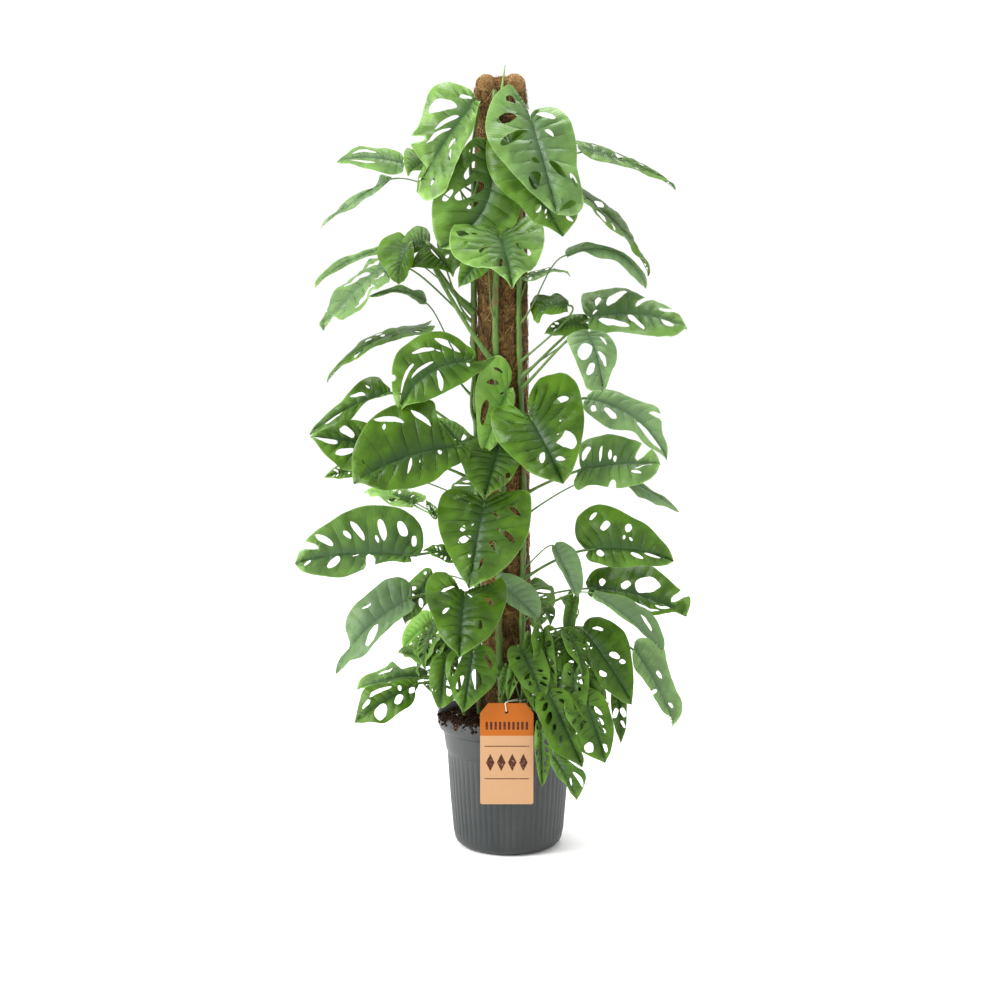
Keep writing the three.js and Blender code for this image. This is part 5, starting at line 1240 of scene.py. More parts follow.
def coirMaterial(name, light):
    material = newMaterial(name)
    tree = material.node_tree
    place = addNode(tree, "TexCoord")
    # fibres 0.3 mm thick are drawn 2 mm wide, or they would not show at this distance, in
    # clumps of 9 mm with damp patches of 33 mm
    slant = addNode(
        tree, "Mapping",
        {"Vector": place.outputs["Object"], "Rotation": (0.5, 0.9, 0.3), "Scale": (1.0, 1.0, 0.18)})
    other = addNode(
        tree, "Mapping",
        {"Vector": place.outputs["Object"], "Rotation": (-0.7, -0.5, 0.8), "Scale": (0.2, 1.0, 1.0)})
    first = addNode(tree, "TexNoise", {"Vector": slant, "Scale": 480.0, "Detail": 4.0, "Roughness": 0.65})
    second = addNode(
        tree, "TexNoise", {"Vector": other, "Scale": 420.0, "Detail": 4.0, "Roughness": 0.65})
    patch = addNode(tree, "TexNoise", {"Vector": place.outputs["Object"], "Scale": 30.0, "Detail": 3.0})
    most = addNode(tree, "Math", {0: first, 1: second}, operation="MAXIMUM")
    tuft = addNode(
        tree, "TexNoise",
        {"Vector": place.outputs["Object"], "Scale": 110.0, "Detail": 5.0, "Roughness": 0.7})
    clump = addNode(tree, "MapRange", {"Value": tuft, 1: 0.38, 2: 0.62, 3: -0.35, 4: 0.4})
    shade = addNode(tree, "MapRange", {"Value": most, 1: 0.42, 2: 0.66, 3: 0.0, 4: 0.9})
    shade = addNode(tree, "Math", {0: shade, 1: clump}, operation="ADD", use_clamp=True)
    damp = addNode(tree, "MapRange", {"Value": patch, 1: 0.35, 2: 0.65, 3: 0.0, 4: 0.5})
    colour = addNode(tree, "Mix", {0: shade, 6: coir["dark"], 7: light}, data_type="RGBA")
    colour = addNode(tree, "Mix", {0: damp, 6: colour, 7: coir["dark"]}, data_type="RGBA")
    relief = addNode(tree, "Bump", {"Height": most, "Strength": 0.9, "Distance": 0.003})
    shader = addNode(
        tree, "BsdfPrincipled",
        {"Base Color": colour, "Roughness": 0.95, "Specular IOR Level": 0.15, "Normal": relief})
    addNode(tree, "OutputMaterial", {"Surface": shader})
    return material


def fibreMaterial():
    material = newMaterial("coirFibre")
    tree = material.node_tree
    tone = addNode(tree, "Attribute", attribute_name="tone")
    low = addNode(tree, "MapRange", {"Value": tone.outputs["Fac"], 1: 0.0, 2: 0.5})
    high = addNode(tree, "MapRange", {"Value": tone.outputs["Fac"], 1: 0.5, 2: 1.0})
    colour = addNode(tree, "Mix", {0: low, 6: coir["dark"], 7: coir["middle"]}, data_type="RGBA")
    colour = addNode(tree, "Mix", {0: high, 6: colour, 7: coir["straw"]}, data_type="RGBA")
    shader = addNode(
        tree, "BsdfPrincipled", {"Base Color": colour, "Roughness": 0.7, "Specular IOR Level": 0.3})
    addNode(tree, "OutputMaterial", {"Surface": shader})
    return material


coirMat = coirMaterial("needledCoir", coir["middle"])
# the rolls on top get the same coir drawn in a lighter colour
coirGold = coirMaterial("lighterRollCoir", coir["light"])
coirHair = fibreMaterial()

core, edge = coir["core"], pole["radius"]
rows = int((pole["top"] - pole["foot"]) / coir["rowHeight"])
profile = [(core, pole["foot"]), (edge - 0.5, pole["foot"])]
profile += [(edge - 0.8, spread(pole["foot"] + 2, pole["top"] - 3, i / rows)) for i in range(rows + 1)]
profile += [
    (edge - 3, pole["top"]), (2 * core, pole["top"]), (core, pole["top"] - 2), (core, pole["foot"])]
poleWall = spinProfile("coir_wall", profile, coir["steps"], coirMat)


def roughCoir(p):
    reach = math.hypot(p.x, p.y)
    if reach > coir["core"] + 5 and pole["foot"] + 1 < p.z < pole["top"] - 1:
        lump = noise.noise(Vector((p.x / 9, p.y / 9, p.z / 13))) * coir["rough"]
        lump += noise.noise(Vector((p.x / 30, p.y / 30, p.z / 45))) * coir["broad"]
        p = Vector((p.x * (1 + lump / reach), p.y * (1 + lump / reach), p.z))
    return p + Vector((pole["lean"] * (p.z - pole["foot"]), 0, 0))


moveVertices(poleWall, roughCoir)

# the two rolled ends of the mat: a sheet of coir wound up tightly, lying on top, with
# loose coir between them
roll = {
    "radius": {-1: 16.5, 1: 17.5}, "offset": {-1: 24.5, 1: 27}, "length": 74, "height": 1435,
    "turns": 4, "wall": 4.2, "steps": 72, "rows": 24, "dome": 7, "pinch": 0.34, "rough": (3.2, 1.9),
    "wad": (20, 33, 14.5), "wadRough": (2.2, 0.9),
}
rolls = []


def rollEnd(share):
    # both ends of a roll are rounded off
    return 1 - roll["pinch"] * abs(2 * share - 1) ** 5


def tufted(p, rough):
    # lumps of 7 mm and tufts of 2.6 mm
    return p + noise.noise_vector(p / 7) * rough[0] + noise.noise_vector(p / 2.6) * rough[1]


for sign in (-1, 1):
    spiral = []
    for i in range(roll["steps"] + 1):
        t = i / roll["steps"]
        angle = sign * (t * roll["turns"] * 2 * math.pi) + 1.2
        reach = spread(0.5, roll["radius"][sign] - 1.5, t)
        spiral.append((math.cos(angle) * reach, math.sin(angle) * reach, reach / roll["radius"][sign]))
    points, faces = [], []
    centre = poleAxis(roll["height"]) + Vector((sign * roll["offset"][sign], 0, 0))
    for k in range(roll["rows"] + 1):
        share = k / roll["rows"]
        for x, z, out in spiral:
            y = (share - 0.5) * (roll["length"] + 2 * roll["dome"] * (1 - out * out))
            points.append((centre.x + x * rollEnd(share), centre.y + y, centre.z + z * rollEnd(share)))
    for k in range(roll["rows"]):
        for i in range(len(spiral) - 1):
            a = k * len(spiral) + i
            faces.append((a, a + 1, a + 1 + len(spiral), a + len(spiral)))
    rolled = meshPiece("coir_roll", points, faces, coirGold)
    wall = rolled.modifiers.new("wall", "SOLIDIFY")
    wall.thickness = roll["wall"] * mm
    wall.offset = 0
    finer = rolled.modifiers.new("finer", "SUBSURF")
    finer.levels = finer.render_levels = 1
    applyAll(rolled)
    moveVertices(rolled, lambda p: tufted(p, roll["rough"]))
    selectOnly(rolled)
    bpy.ops.object.mode_set(mode="EDIT")
    bpy.ops.mesh.select_all(action="SELECT")
    bpy.ops.mesh.normals_make_consistent(inside=False)
    bpy.ops.object.mode_set(mode="OBJECT")
    bpy.ops.object.shade_smooth()
    rolls.append(rolled)
bpy.ops.object.select_all(action="DESELECT")
bpy.ops.mesh.primitive_ico_sphere_add(subdivisions=5, radius=1, location=(0, 0, 0))
wad = bpy.context.object
wad.data.materials.append(coirGold)
wadCentre = poleAxis(roll["height"] - 1) + Vector((1, 0, 0))
for vertex in wad.data.vertices:
    p = Vector([c * s for c, s in zip(vertex.co, roll["wad"])])
    vertex.co = (tufted(p, roll["wadRough"]) + wadCentre) * mm
bpy.ops.object.shade_smooth()
rolls.append(wad)
coirWall = joinPieces(poleWall, rolls)
coirWall.name = "coir_wrap_rolled"
placePiece(coirWall, "coir", "coir_wrap")

# loose fibres: one thin three-sided hair, drawn thousands of times along the wall
hairLuck = random.Random(21)


def hairMesh(paths):
    points, faces, tones = [], [], []
    for path, radius, tone in paths:
        first = len(points)
        last = len(path) - 1
        for i, place in enumerate(path):
            ahead = (path[min(i + 1, last)] - path[max(i - 1, 0)]).normalized()
            side = ahead.cross(Vector((0.31, 0.52, 0.79))).normalized()
            other = ahead.cross(side)
            thin = radius * (1 - 0.7 * abs(2 * i / last - 1) ** 3)
            for k in range(3):
                turn = 2 * math.pi * k / 3
                points.append(place + (side * math.cos(turn) + other * math.sin(turn)) * thin)
                tones.append(tone)
        for i in range(last):
            for k in range(3):
                a, b = first + i * 3 + k, first + i * 3 + (k + 1) % 3
                faces.append((a, b, b + 3, a + 3))
        faces.append((first + 2, first + 1, first))
        faces.append((first + last * 3, first + last * 3 + 1, first + last * 3 + 2))
    return points, faces, tones


def around(height, angle, reach):
    # a place at this height round the pole
    return poleAxis(height) + Vector((math.cos(angle) * reach, math.sin(angle) * reach, 0))


paths = []
along = [i / 4 - 0.5 for i in range(5)]  # a fibre has five points
for n in range(coir["fibres"]):
    height = hairLuck.uniform(coir["bottom"], pole["top"] - 4)
    angle = hairLuck.uniform(0, 2 * math.pi)
    length = hairLuck.uniform(*coir["fibreLength"])
    slope = hairLuck.gauss(0, 0.9)
    bow = hairLuck.uniform(-0.5, 0.5)
    lift = abs(hairLuck.gauss(0, 0.35)) * coir["standOff"]
    path = []
    for t in along:
        h = height + math.cos(slope) * length * t + bow * 18 * t * t
        h = min(max(h, coir["bottom"] - 4), pole["top"] + 1)
        a = angle + math.sin(slope) * length * t / pole["radius"] + bow * 0.3 * t * t
        r = pole["radius"] + 0.3 + lift * (2 * abs(t)) ** 2 + hairLuck.uniform(*coir["stray"])
        path.append(around(h, a, r))
    paths.append((path, hairLuck.uniform(*coir["fibreRadius"]), hairLuck.random() ** 2))
for n in range(coir["rollFibres"]):
    sign = hairLuck.choice((-1, 1))
    size = roll["radius"][sign]
    centre = poleAxis(roll["height"]) + Vector((sign * roll["offset"][sign], 0, 0))
    angle = hairLuck.uniform(0, 2 * math.pi)
    length = hairLuck.uniform(*coir["rollFibreLength"])
    path = []
    if n % 2:
        # round the side of the roll
        middle = hairLuck.uniform(-roll["length"] / 2, roll["length"] / 2)
        slope = hairLuck.gauss(0.9, 0.8)
        for t in along:
            a = angle + math.sin(slope) * length * t / size
            share = (middle + math.cos(slope) * length * t) / roll["length"] + 0.5
            share = min(1, max(0, share))
            r = (size + 1.3 + 6 * t * t + hairLuck.uniform(*coir["rollStray"])) * rollEnd(share)
            y = (share - 0.5) * roll["length"]
            path.append(centre + Vector((math.cos(a) * r, y, math.sin(a) * r)))
    else:
        # over its rounded end
        end = hairLuck.choice((-1, -1, 1))
        reach = size * 0.72 * math.sqrt(hairLuck.random())
        slope = hairLuck.uniform(-1.2, 1.2)
        for t in along:
            a = angle + math.cos(slope) * length * t / (reach + 5)
            r = min(size * 0.8, abs(reach + math.sin(slope) * length * t))
            y = end * (roll["length"] / 2 + roll["dome"] * (1 - (r / size) ** 2) + 2.6 + 7 * t * t)
            path.append(centre + Vector((math.cos(a) * r, y, math.sin(a) * r)))
    paths.append((path, hairLuck.uniform(*coir["rollFibreRadius"]), 0.35 + 0.5 * hairLuck.random()))
for n in range(coir["wadFibres"]):
    # loose coir lies crosswise between the two rolls
    a, b = hairLuck.uniform(0, 2 * math.pi), hairLuck.uniform(-1.2, 1.2)
    wide, deep, high = roll["wad"]
    x, z = wide * 1.1 * math.cos(a) * math.cos(b), high * 1.1 * math.sin(a) * math.cos(b)
    spot = wadCentre + Vector((x, deep * math.sin(b), z))
    ahead = Vector((1, hairLuck.uniform(-0.6, 0.6), hairLuck.uniform(-0.5, 0.5)))
    path = []
    for s in coir["wadSteps"]:
        path.append(spot + ahead * s + noise.noise_vector(spot / 6 + ahead * s / 9) * 3)
    paths.append((path, hairLuck.uniform(*coir["rollFibreRadius"]), 0.45 + 0.45 * hairLuck.random()))
# a frayed edge hangs off the right of the top
for n in range(coir["frayFibres"]):
    a = hairLuck.uniform(*coir["frayAngle"])
    h = hairLuck.uniform(*coir["frayHeight"])
    start = around(h, a, pole["radius"] - 1)
    out = Vector((math.cos(a), math.sin(a), hairLuck.uniform(-2.6, 0.2)))
    length = hairLuck.uniform(*coir["frayLength"])
    path = []
    for t in (0, 0.3, 0.6, 1):
        sag = Vector((0, 0, -5 * t * t))
        path.append(start + out * length * t + sag + noise.noise_vector(start + out * t) * 2)
    paths.append((path, hairLuck.uniform(0.2, 0.4), 0.15 + 0.6 * hairLuck.random()))
points, faces, tones = hairMesh(paths)
hairs = meshPiece("coir_fibres", points, faces, coirHair)
setAttribute(hairs, "tone", "FLOAT", tones)
placePiece(hairs, "coir")
print("coir pole:", len(coirWall.data.polygons), "and", len(hairs.data.polygons), "faces")

# Polypropylene: injection moulded, filled grey. Satin, with a soft broad gloss, faint flow
# marks and light scuffs on the ribs.
pot = {
    "outer": [
        (0, 0), (60, 0), (84, 0), (91, 1.2), (96, 4), (100.5, 8.5), (103, 14), (104.6, 22), (106, 30),
        (107.5, 47), (109, 64), (110.8, 85), (112.5, 106), (113.8, 126), (115, 146), (116.3, 166),
        (117.3, 182), (117.6, 185), (118.7, 186.2), (119.6, 188), (121.5, 201), (123.4, 214),
        (124.6, 223), (125.2, 225.6), (127.2, 227.4), (130.2, 228.6), (132.2, 230.6), (133.8, 234.6),
        (135.4, 239), (136, 243), (136, 251), (135.7, 255), (134.7, 257.7), (133, 258.8), (131, 258.3),
    ],
    "inner": [
        (129.7, 256), (128.2, 252.5), (121.5, 224), (114, 184), (109, 106), (102.5, 32), (97, 16),
        (82, 6), (0, 6),
    ],
    "steps": 348, "ribs": 58, "ribFoot": 16, "ribTop": 183, "ribDepth": 1.5, "ribInside": 99,
    "ribWall": (30, 102, 0.06), "ribFadeIn": 14, "ribFadeOut": 4,
    "drains": 6, "drainRadius": 7, "drainCircle": 66, "drainDepth": 30, "drainHeight": 3,
    "smooth": 35,
    "grey": "#25292a", "lit": "#303333", "scuff": "#5a5e5f",
}


def potMaterial():
    material = newMaterial("mouldedPolypropylene")
    tree = material.node_tree
    place = addNode(tree, "TexCoord")
    flow = addNode(tree, "Mapping", {"Vector": place.outputs["Object"], "Scale": (1, 1, 0.25)})
    cloud = addNode(tree, "TexNoise", {"Vector": flow, "Scale": 16.0, "Detail": 3.0})
    grit = addNode(tree, "TexNoise", {"Vector": place.outputs["Object"], "Scale": 900.0, "Detail": 2.0})
    scuff = addNode(tree, "TexNoise", {"Vector": flow, "Scale": 210.0, "Detail": 5.0, "Roughness": 0.7})
    cloudPart = addNode(tree, "MapRange", {"Value": cloud, 1: 0.35, 2: 0.65})
    scuffPart = addNode(tree, "MapRange", {"Value": scuff, 1: 0.62, 2: 0.75, 3: 0.0, 4: 0.35})
    colour = addNode(tree, "Mix", {0: cloudPart, 6: pot["grey"], 7: pot["lit"]}, data_type="RGBA")
    colour = addNode(tree, "Mix", {0: scuffPart, 6: colour, 7: pot["scuff"]}, data_type="RGBA")
    gloss = addNode(tree, "MapRange", {"Value": cloud, 3: 0.36, 4: 0.52})
    relief = addNode(tree, "Bump", {"Height": grit, "Strength": 0.15, "Distance": 0.0005})
    shader = addNode(
        tree, "BsdfPrincipled", {"Base Color": colour, "Roughness": gloss, "IOR": 1.49, "Normal": relief})
    addNode(tree, "OutputMaterial", {"Surface": shader})
    return material


potPiece = spinProfile("pot_moulded", pot["outer"] + pot["inner"], pot["steps"], potMaterial())


def ribbed(p):
    reach = math.hypot(p.x, p.y)
    height, least, slope = pot["ribWall"]  # the inner wall, which stays plain
    inner = reach < pot["ribInside"] or p.z > height and reach < least + (p.z - height) * slope
    if inner or not pot["ribFoot"] <= p.z <= pot["ribTop"]:
        return p
    turn = math.atan2(p.y, p.x) / (2 * math.pi) * pot["ribs"]
    wave = abs(math.sin(math.pi * turn)) ** 0.75  # round ribs, narrow grooves
    fade = min(1, (p.z - pot["ribFoot"]) / pot["ribFadeIn"], (pot["ribTop"] - p.z) / pot["ribFadeOut"])
    return p - Vector((p.x, p.y, 0)).normalized() * pot["ribDepth"] * (1 - wave) * max(0, fade)


moveVertices(potPiece, ribbed)
for k in range(pot["drains"]):
    turn = (k + 0.5) / pot["drains"] * 2 * math.pi
    reach = pot["drainCircle"] * mm
    place = (reach * math.cos(turn), reach * math.sin(turn), pot["drainHeight"] * mm)
    bpy.ops.object.select_all(action="DESELECT")
    bpy.ops.mesh.primitive_cylinder_add(
        vertices=24, radius=pot["drainRadius"] * mm, depth=pot["drainDepth"] * mm, location=place)
    cutter = bpy.context.object
    cut = potPiece.modifiers.new("drain", "BOOLEAN")
    cut.operation = "DIFFERENCE"
    cut.object = cutter
    applyAll(potPiece)
    bpy.data.objects.remove(cutter)
selectOnly(potPiece)
bpy.ops.object.shade_smooth_by_angle(angle=math.radians(pot["smooth"]))
placePiece(potPiece, "pot_plastic", "pot")
print("pot:", len(potPiece.data.polygons), "faces")

# Peat and bark mix: matt, nearly black when damp, with crumbs, chips of bark and a few
# white grains of perlite.
soil = {
    "black": "#140c07", "brown": "#3b2617", "light": "#6b4a2e", "perlite": "#cfc8ba",
    "wall": [
        (0, 6.6), (81, 6.6), (96.2, 16.6), (101.6, 32.4), (108.2, 106), (113.2, 184), (120.2, 222),
        (121.5, 240), (120.7, 245), (119.5, 249),
    ],
    "steps": 150, "edge": 121.5, "edgeTop": 250, "dome": 7, "rough": 244, "lump": 4.5, "smallLump": 2.6,
    "heap": {"x": -70, "y": -75, "wide": 50, "deep": 45, "high": 5},
    "crumbs": 1500, "bark": 170, "perlites": 18, "stretch": (0.6, 1.4), "uneven": 0.35, "sink": 0.2,
    # what lies on the rim at the front and hangs over it; none lies behind the tag
    "spillAngle": (-168, -60), "spillReach": (116, 137), "rimTop": 259, "overRim": 133,
    "overReach": (134.5, 136.6), "overTop": 258, "overDrop": 15, "spread": 119,
    "tagFrom": 128, "tagSides": (-58, 50),
}


def soilMaterial(name, dark, light):
    material = newMaterial(name)
    tree = material.node_tree
    place = addNode(tree, "TexCoord")
    crumb = addNode(tree, "TexVoronoi", {"Vector": place.outputs["Object"], "Scale": 300.0}, feature="F1")
    fine = addNode(
        tree, "TexNoise",
        {"Vector": place.outputs["Object"], "Scale": 210.0, "Detail": 6.0, "Roughness": 0.7})
    shade = addNode(tree, "MapRange", {"Value": fine, 1: 0.4, 2: 0.68})
    colour = addNode(tree, "Mix", {0: shade, 6: dark, 7: light}, data_type="RGBA")
    height = addNode(tree, "Math", {0: fine, 1: crumb.outputs["Distance"]}, operation="SUBTRACT")
    relief = addNode(tree, "Bump", {"Height": height, "Strength": 0.9, "Distance": 0.003})
    shader = addNode(
        tree, "BsdfPrincipled",
        {"Base Color": colour, "Roughness": 0.95, "Specular IOR Level": 0.12, "Normal": relief})
    addNode(tree, "OutputMaterial", {"Surface": shader})
    return material


peat = soilMaterial("dampPeat", soil["black"], soil["brown"])
bark = soilMaterial("barkChip", soil["brown"], soil["light"])
perlite = soilMaterial("perliteGrain", soil["light"], soil["perlite"])


def soilTop(reach):
    return soil["edgeTop"] + soil["dome"] * (1 - (reach / soil["edge"]) ** 2)


profile = soil["wall"] + [(r, soilTop(r)) for r in range(117, -1, -3)]
soilPiece = spinProfile("soil_heap", profile, soil["steps"], peat)


def lumpy(p):
    if p.z < soil["rough"]:
        return p
    lump = noise.noise(Vector((p.x / 14, p.y / 14, 3))) * soil["lump"]
    lump += noise.noise(Vector((p.x / 5, p.y / 5, 9))) * soil["smallLump"]
    # the heap stands a little higher at the front left
    heap = soil["heap"]
    far = ((p.x - heap["x"]) / heap["wide"]) ** 2 + ((p.y - heap["y"]) / heap["deep"]) ** 2
    return Vector((p.x, p.y, p.z + lump + heap["high"] * math.exp(-far)))


moveVertices(soilPiece, lumpy)
crumbLuck = random.Random(5)
bpy.ops.object.select_all(action="DESELECT")
bpy.ops.mesh.primitive_ico_sphere_add(subdivisions=1, radius=mm, location=(0, 0, 0))
seed = bpy.context.object
seedPoints = [v.co / mm for v in seed.data.vertices]
seedFaces = [tuple(f.vertices) for f in seed.data.polygons]
bpy.data.objects.remove(seed)


def scatter(name, count, sizes, squash, material, spill):
    points, faces = [], []
    for n in range(count):
        if crumbLuck.random() < spill:
            angle = math.radians(crumbLuck.uniform(*soil["spillAngle"]))
            reach = crumbLuck.uniform(*soil["spillReach"])
            share = (reach - soil["spillReach"][0]) / 11
            ground = spread(soil["edgeTop"], soil["rimTop"], max(0, min(1, share)))
            if reach > soil["overRim"]:
                reach = crumbLuck.uniform(*soil["overReach"])
                ground = soil["overTop"] - soil["overDrop"] * crumbLuck.random() ** 1.6
        else:
            angle = crumbLuck.uniform(0, 2 * math.pi)
            reach = math.sqrt(crumbLuck.random()) * soil["spread"]
            ground = lumpy(Vector((reach * math.cos(angle), reach * math.sin(angle), soilTop(reach)))).z
        x, y = reach * math.cos(angle), reach * math.sin(angle)
        atTag = reach > soil["tagFrom"] and y < 0 and soil["tagSides"][0] < x < soil["tagSides"][1]
        if reach < pole["radius"] + 2 or atTag:
            continue
        size = crumbLuck.uniform(*sizes)
        centre = Vector((x, y, ground + size * soil["sink"]))
        stretch = [crumbLuck.uniform(*soil["stretch"]), crumbLuck.uniform(*soil["stretch"]), squash]
        turn = crumbLuck.uniform(0, 6.28)
        first = len(points)
        for p in seedPoints:
            q = Vector([c * s for c, s in zip(p, stretch)]) * size
            q += noise.noise_vector(p * 0.9 + centre) * size * soil["uneven"]
            across = q.x * math.cos(turn) - q.y * math.sin(turn)
            q = Vector((across, q.x * math.sin(turn) + q.y * math.cos(turn), q.z))
            points.append(centre + q)
        faces += [tuple(first + i for i in f) for f in seedFaces]
    return meshPiece(name, points, faces, material)


soilParts = [scatter("crumbs", soil["crumbs"], (1.4, 4.2), 0.8, peat, 0.5),
             scatter("bark", soil["bark"], (1.6, 4.4), 0.5, bark, 0.4),
             scatter("perlite", soil["perlites"], (1.2, 2.0), 0.9, perlite, 0.1)]
placePiece(joinPieces(soilPiece, soilParts), "potting_soil", "soil")
print("soil:", len(soilPiece.data.polygons), "faces")

# Printed card: uncoated board, die cut and printed in two flat inks. Matt, with a faint
# fibre mottle.
tag = {
    "left": -53, "width": 99, "bottom": 114, "height": 193, "front": -137.35, "thick": 1, "bevel": 0.15,
    "chamferX": 15, "chamferZ": 19, "corner": 4, "hole": (-4, 290, 3.1), "header": 245,
    "orange": "#a5570a", "cream": "#b38b66", "brown": "#43190a", "edge": "#c9b48f",
    "band": 194, "diamond": 20.5, "inset": 8.5, "slim": 0.48, "small": 2.2, "ruleAt": 31, "ruleHalf": 0.9,
    "bar": 8.25, "barShare": 0.22, "barRow": 264, "barHalf": 7.5, "below": 8, "within": 41.5,
}


def tagMaterial():
    # plain bars, and a row of lozenges between two rules, stand for the printing
    material = newMaterial("printedCard")
    tree = material.node_tree
    place = addNode(tree, "TexCoord")
    parts = addNode(tree, "SeparateXYZ", {0: place.outputs["Object"]})
    x, y, z = parts.outputs
    fibre = addNode(tree, "TexNoise", {"Vector": place.outputs["Object"], "Scale": 900.0, "Detail": 4.0})
    worn = addNode(
        tree, "TexNoise",
        {"Vector": place.outputs["Object"], "Scale": 260.0, "Detail": 5.0, "Roughness": 0.75})
    header = addNode(tree, "Math", {0: z, 1: tag["header"] * mm}, operation="GREATER_THAN")
    fromLeft = addNode(tree, "Math", {0: x, 1: tag["left"] * mm}, operation="SUBTRACT")
    fromInset = addNode(tree, "Math", {0: fromLeft, 1: tag["inset"] * mm}, operation="SUBTRACT")
    saw = addNode(tree, "Math", {0: fromInset, 1: tag["diamond"] / 2 * mm}, operation="PINGPONG")
    fromBand = addNode(tree, "Math", {0: z, 1: tag["band"] * mm}, operation="SUBTRACT")
    rise = addNode(tree, "Math", {0: fromBand}, operation="ABSOLUTE")
    slim = addNode(tree, "Math", {0: rise, 1: tag["slim"]}, operation="MULTIPLY")
    inside = addNode(tree, "Math", {0: saw, 1: slim}, operation="SUBTRACT")
    lozenge = addNode(tree, "Math", {0: inside, 1: tag["small"] * mm}, operation="GREATER_THAN")
    ruleAt = addNode(tree, "Math", {0: rise, 1: tag["ruleAt"] * mm}, operation="SUBTRACT")
    ruleNear = addNode(tree, "Math", {0: ruleAt}, operation="ABSOLUTE")
    rule = addNode(tree, "Math", {0: ruleNear, 1: tag["ruleHalf"] * mm}, operation="LESS_THAN")
    ink = addNode(tree, "Math", {0: lozenge, 1: rule}, operation="MAXIMUM")
    barSaw = addNode(tree, "Math", {0: fromLeft, 1: tag["bar"] / 2 * mm}, operation="PINGPONG")
    bar = addNode(
        tree, "Math", {0: barSaw, 1: tag["bar"] * tag["barShare"] * mm}, operation="GREATER_THAN")
    fromBar = addNode(tree, "Math", {0: z, 1: tag["barRow"] * mm}, operation="SUBTRACT")
    barRise = addNode(tree, "Math", {0: fromBar}, operation="ABSOLUTE")
    barRow = addNode(tree, "Math", {0: barRise, 1: tag["barHalf"] * mm}, operation="LESS_THAN")
    bars = addNode(tree, "Math", {0: bar, 1: barRow}, operation="MULTIPLY")
    below = addNode(tree, "Math", {0: z, 1: (tag["header"] - tag["below"]) * mm}, operation="LESS_THAN")
    fromMiddle = addNode(
        tree, "Math", {0: x, 1: (tag["left"] + tag["width"] / 2) * mm}, operation="SUBTRACT")
    inset = addNode(tree, "Math", {0: fromMiddle}, operation="ABSOLUTE")
    within = addNode(tree, "Math", {0: inset, 1: tag["within"] * mm}, operation="LESS_THAN")
    printed = addNode(tree, "Math", {0: ink, 1: below}, operation="MULTIPLY")
    printed = addNode(tree, "Math", {0: printed, 1: bars}, operation="MAXIMUM")
    printed = addNode(tree, "Math", {0: printed, 1: within}, operation="MULTIPLY")
    inkWear = addNode(tree, "MapRange", {"Value": worn, 1: 0.36, 2: 0.44, 3: 0.35, 4: 1.0})
    printed = addNode(tree, "Math", {0: printed, 1: inkWear}, operation="MULTIPLY")
    mottle = addNode(tree, "MapRange", {"Value": fibre, 1: 0.3, 2: 0.7, 3: 0.94, 4: 1.04})
    colour = addNode(tree, "Mix", {0: header, 6: tag["cream"], 7: tag["orange"]}, data_type="RGBA")
    colour = addNode(tree, "Mix", {0: printed, 6: colour, 7: tag["brown"]}, data_type="RGBA")
    colour = addNode(tree, "HueSaturation", {"Value": mottle, "Color": colour})
    relief = addNode(tree, "Bump", {"Height": fibre, "Strength": 0.1, "Distance": 0.0004})
    shader = addNode(
        tree, "BsdfPrincipled",
        {"Base Color": colour, "Roughness": 0.72, "Specular IOR Level": 0.3, "Normal": relief})
    addNode(tree, "OutputMaterial", {"Surface": shader})
    return material


left, right = tag["left"], tag["left"] + tag["width"]
bottom, top = tag["bottom"], tag["bottom"] + tag["height"]
corner = tag["corner"]
outlineTag = [(left + tag["chamferX"], top), (left, top - tag["chamferZ"])]
for middle, start in ((left + corner, 180), (right - corner, 270)):
    for k in range(5):
        turn = math.radians(start + k * 22.5)
        outlineTag.append((middle + corner * math.cos(turn), bottom + corner + corner * math.sin(turn)))
outlineTag += [(right, top - tag["chamferZ"]), (right - tag["chamferX"], top)]
holeX, holeZ, holeR = tag["hole"]
holeTag = []
for k in range(24):
    turn = k * math.pi / 12
    holeTag.append((holeX + holeR * math.cos(turn), holeZ + holeR * math.sin(turn)))
flatPoints = [Vector(p) for p in outlineTag + holeTag]
loops = [list(range(len(outlineTag))), list(range(len(outlineTag), len(flatPoints)))]
made = geometry.delaunay_2d_cdt(flatPoints, [], loops, 2, 0.001)
tagPiece = meshPiece("tag_card", [(v.x, tag["front"] + tag["thick"] / 2, v.y) for v in made[0]],
                     made[2], tagMaterial())
if sum(f.normal.y for f in tagPiece.data.polygons) > 0:
    tagPiece.data.flip_normals()
wall = tagPiece.modifiers.new("wall", "SOLIDIFY")
wall.thickness = tag["thick"] * mm
wall.offset = 0
edgeBevel = tagPiece.modifiers.new("edge", "BEVEL")
edgeBevel.width = tag["bevel"] * mm
edgeBevel.segments = 2
edgeBevel.limit_method = "ANGLE"
applyAll(tagPiece)
placePiece(tagPiece, "tag_card", "tag")

# Cotton string: two plies twisted together, unbleached. Soft, matt, and slightly fuzzy.
cotton = {
    "ply": 0.6, "apart": 0.5, "twist": 3.8, "colour": "#efe9dd", "shade": "#c9bfac",
    "rest": 291.8, "front": -138.55, "back": -135.15, "round": 5.41, "knot": 304,
}


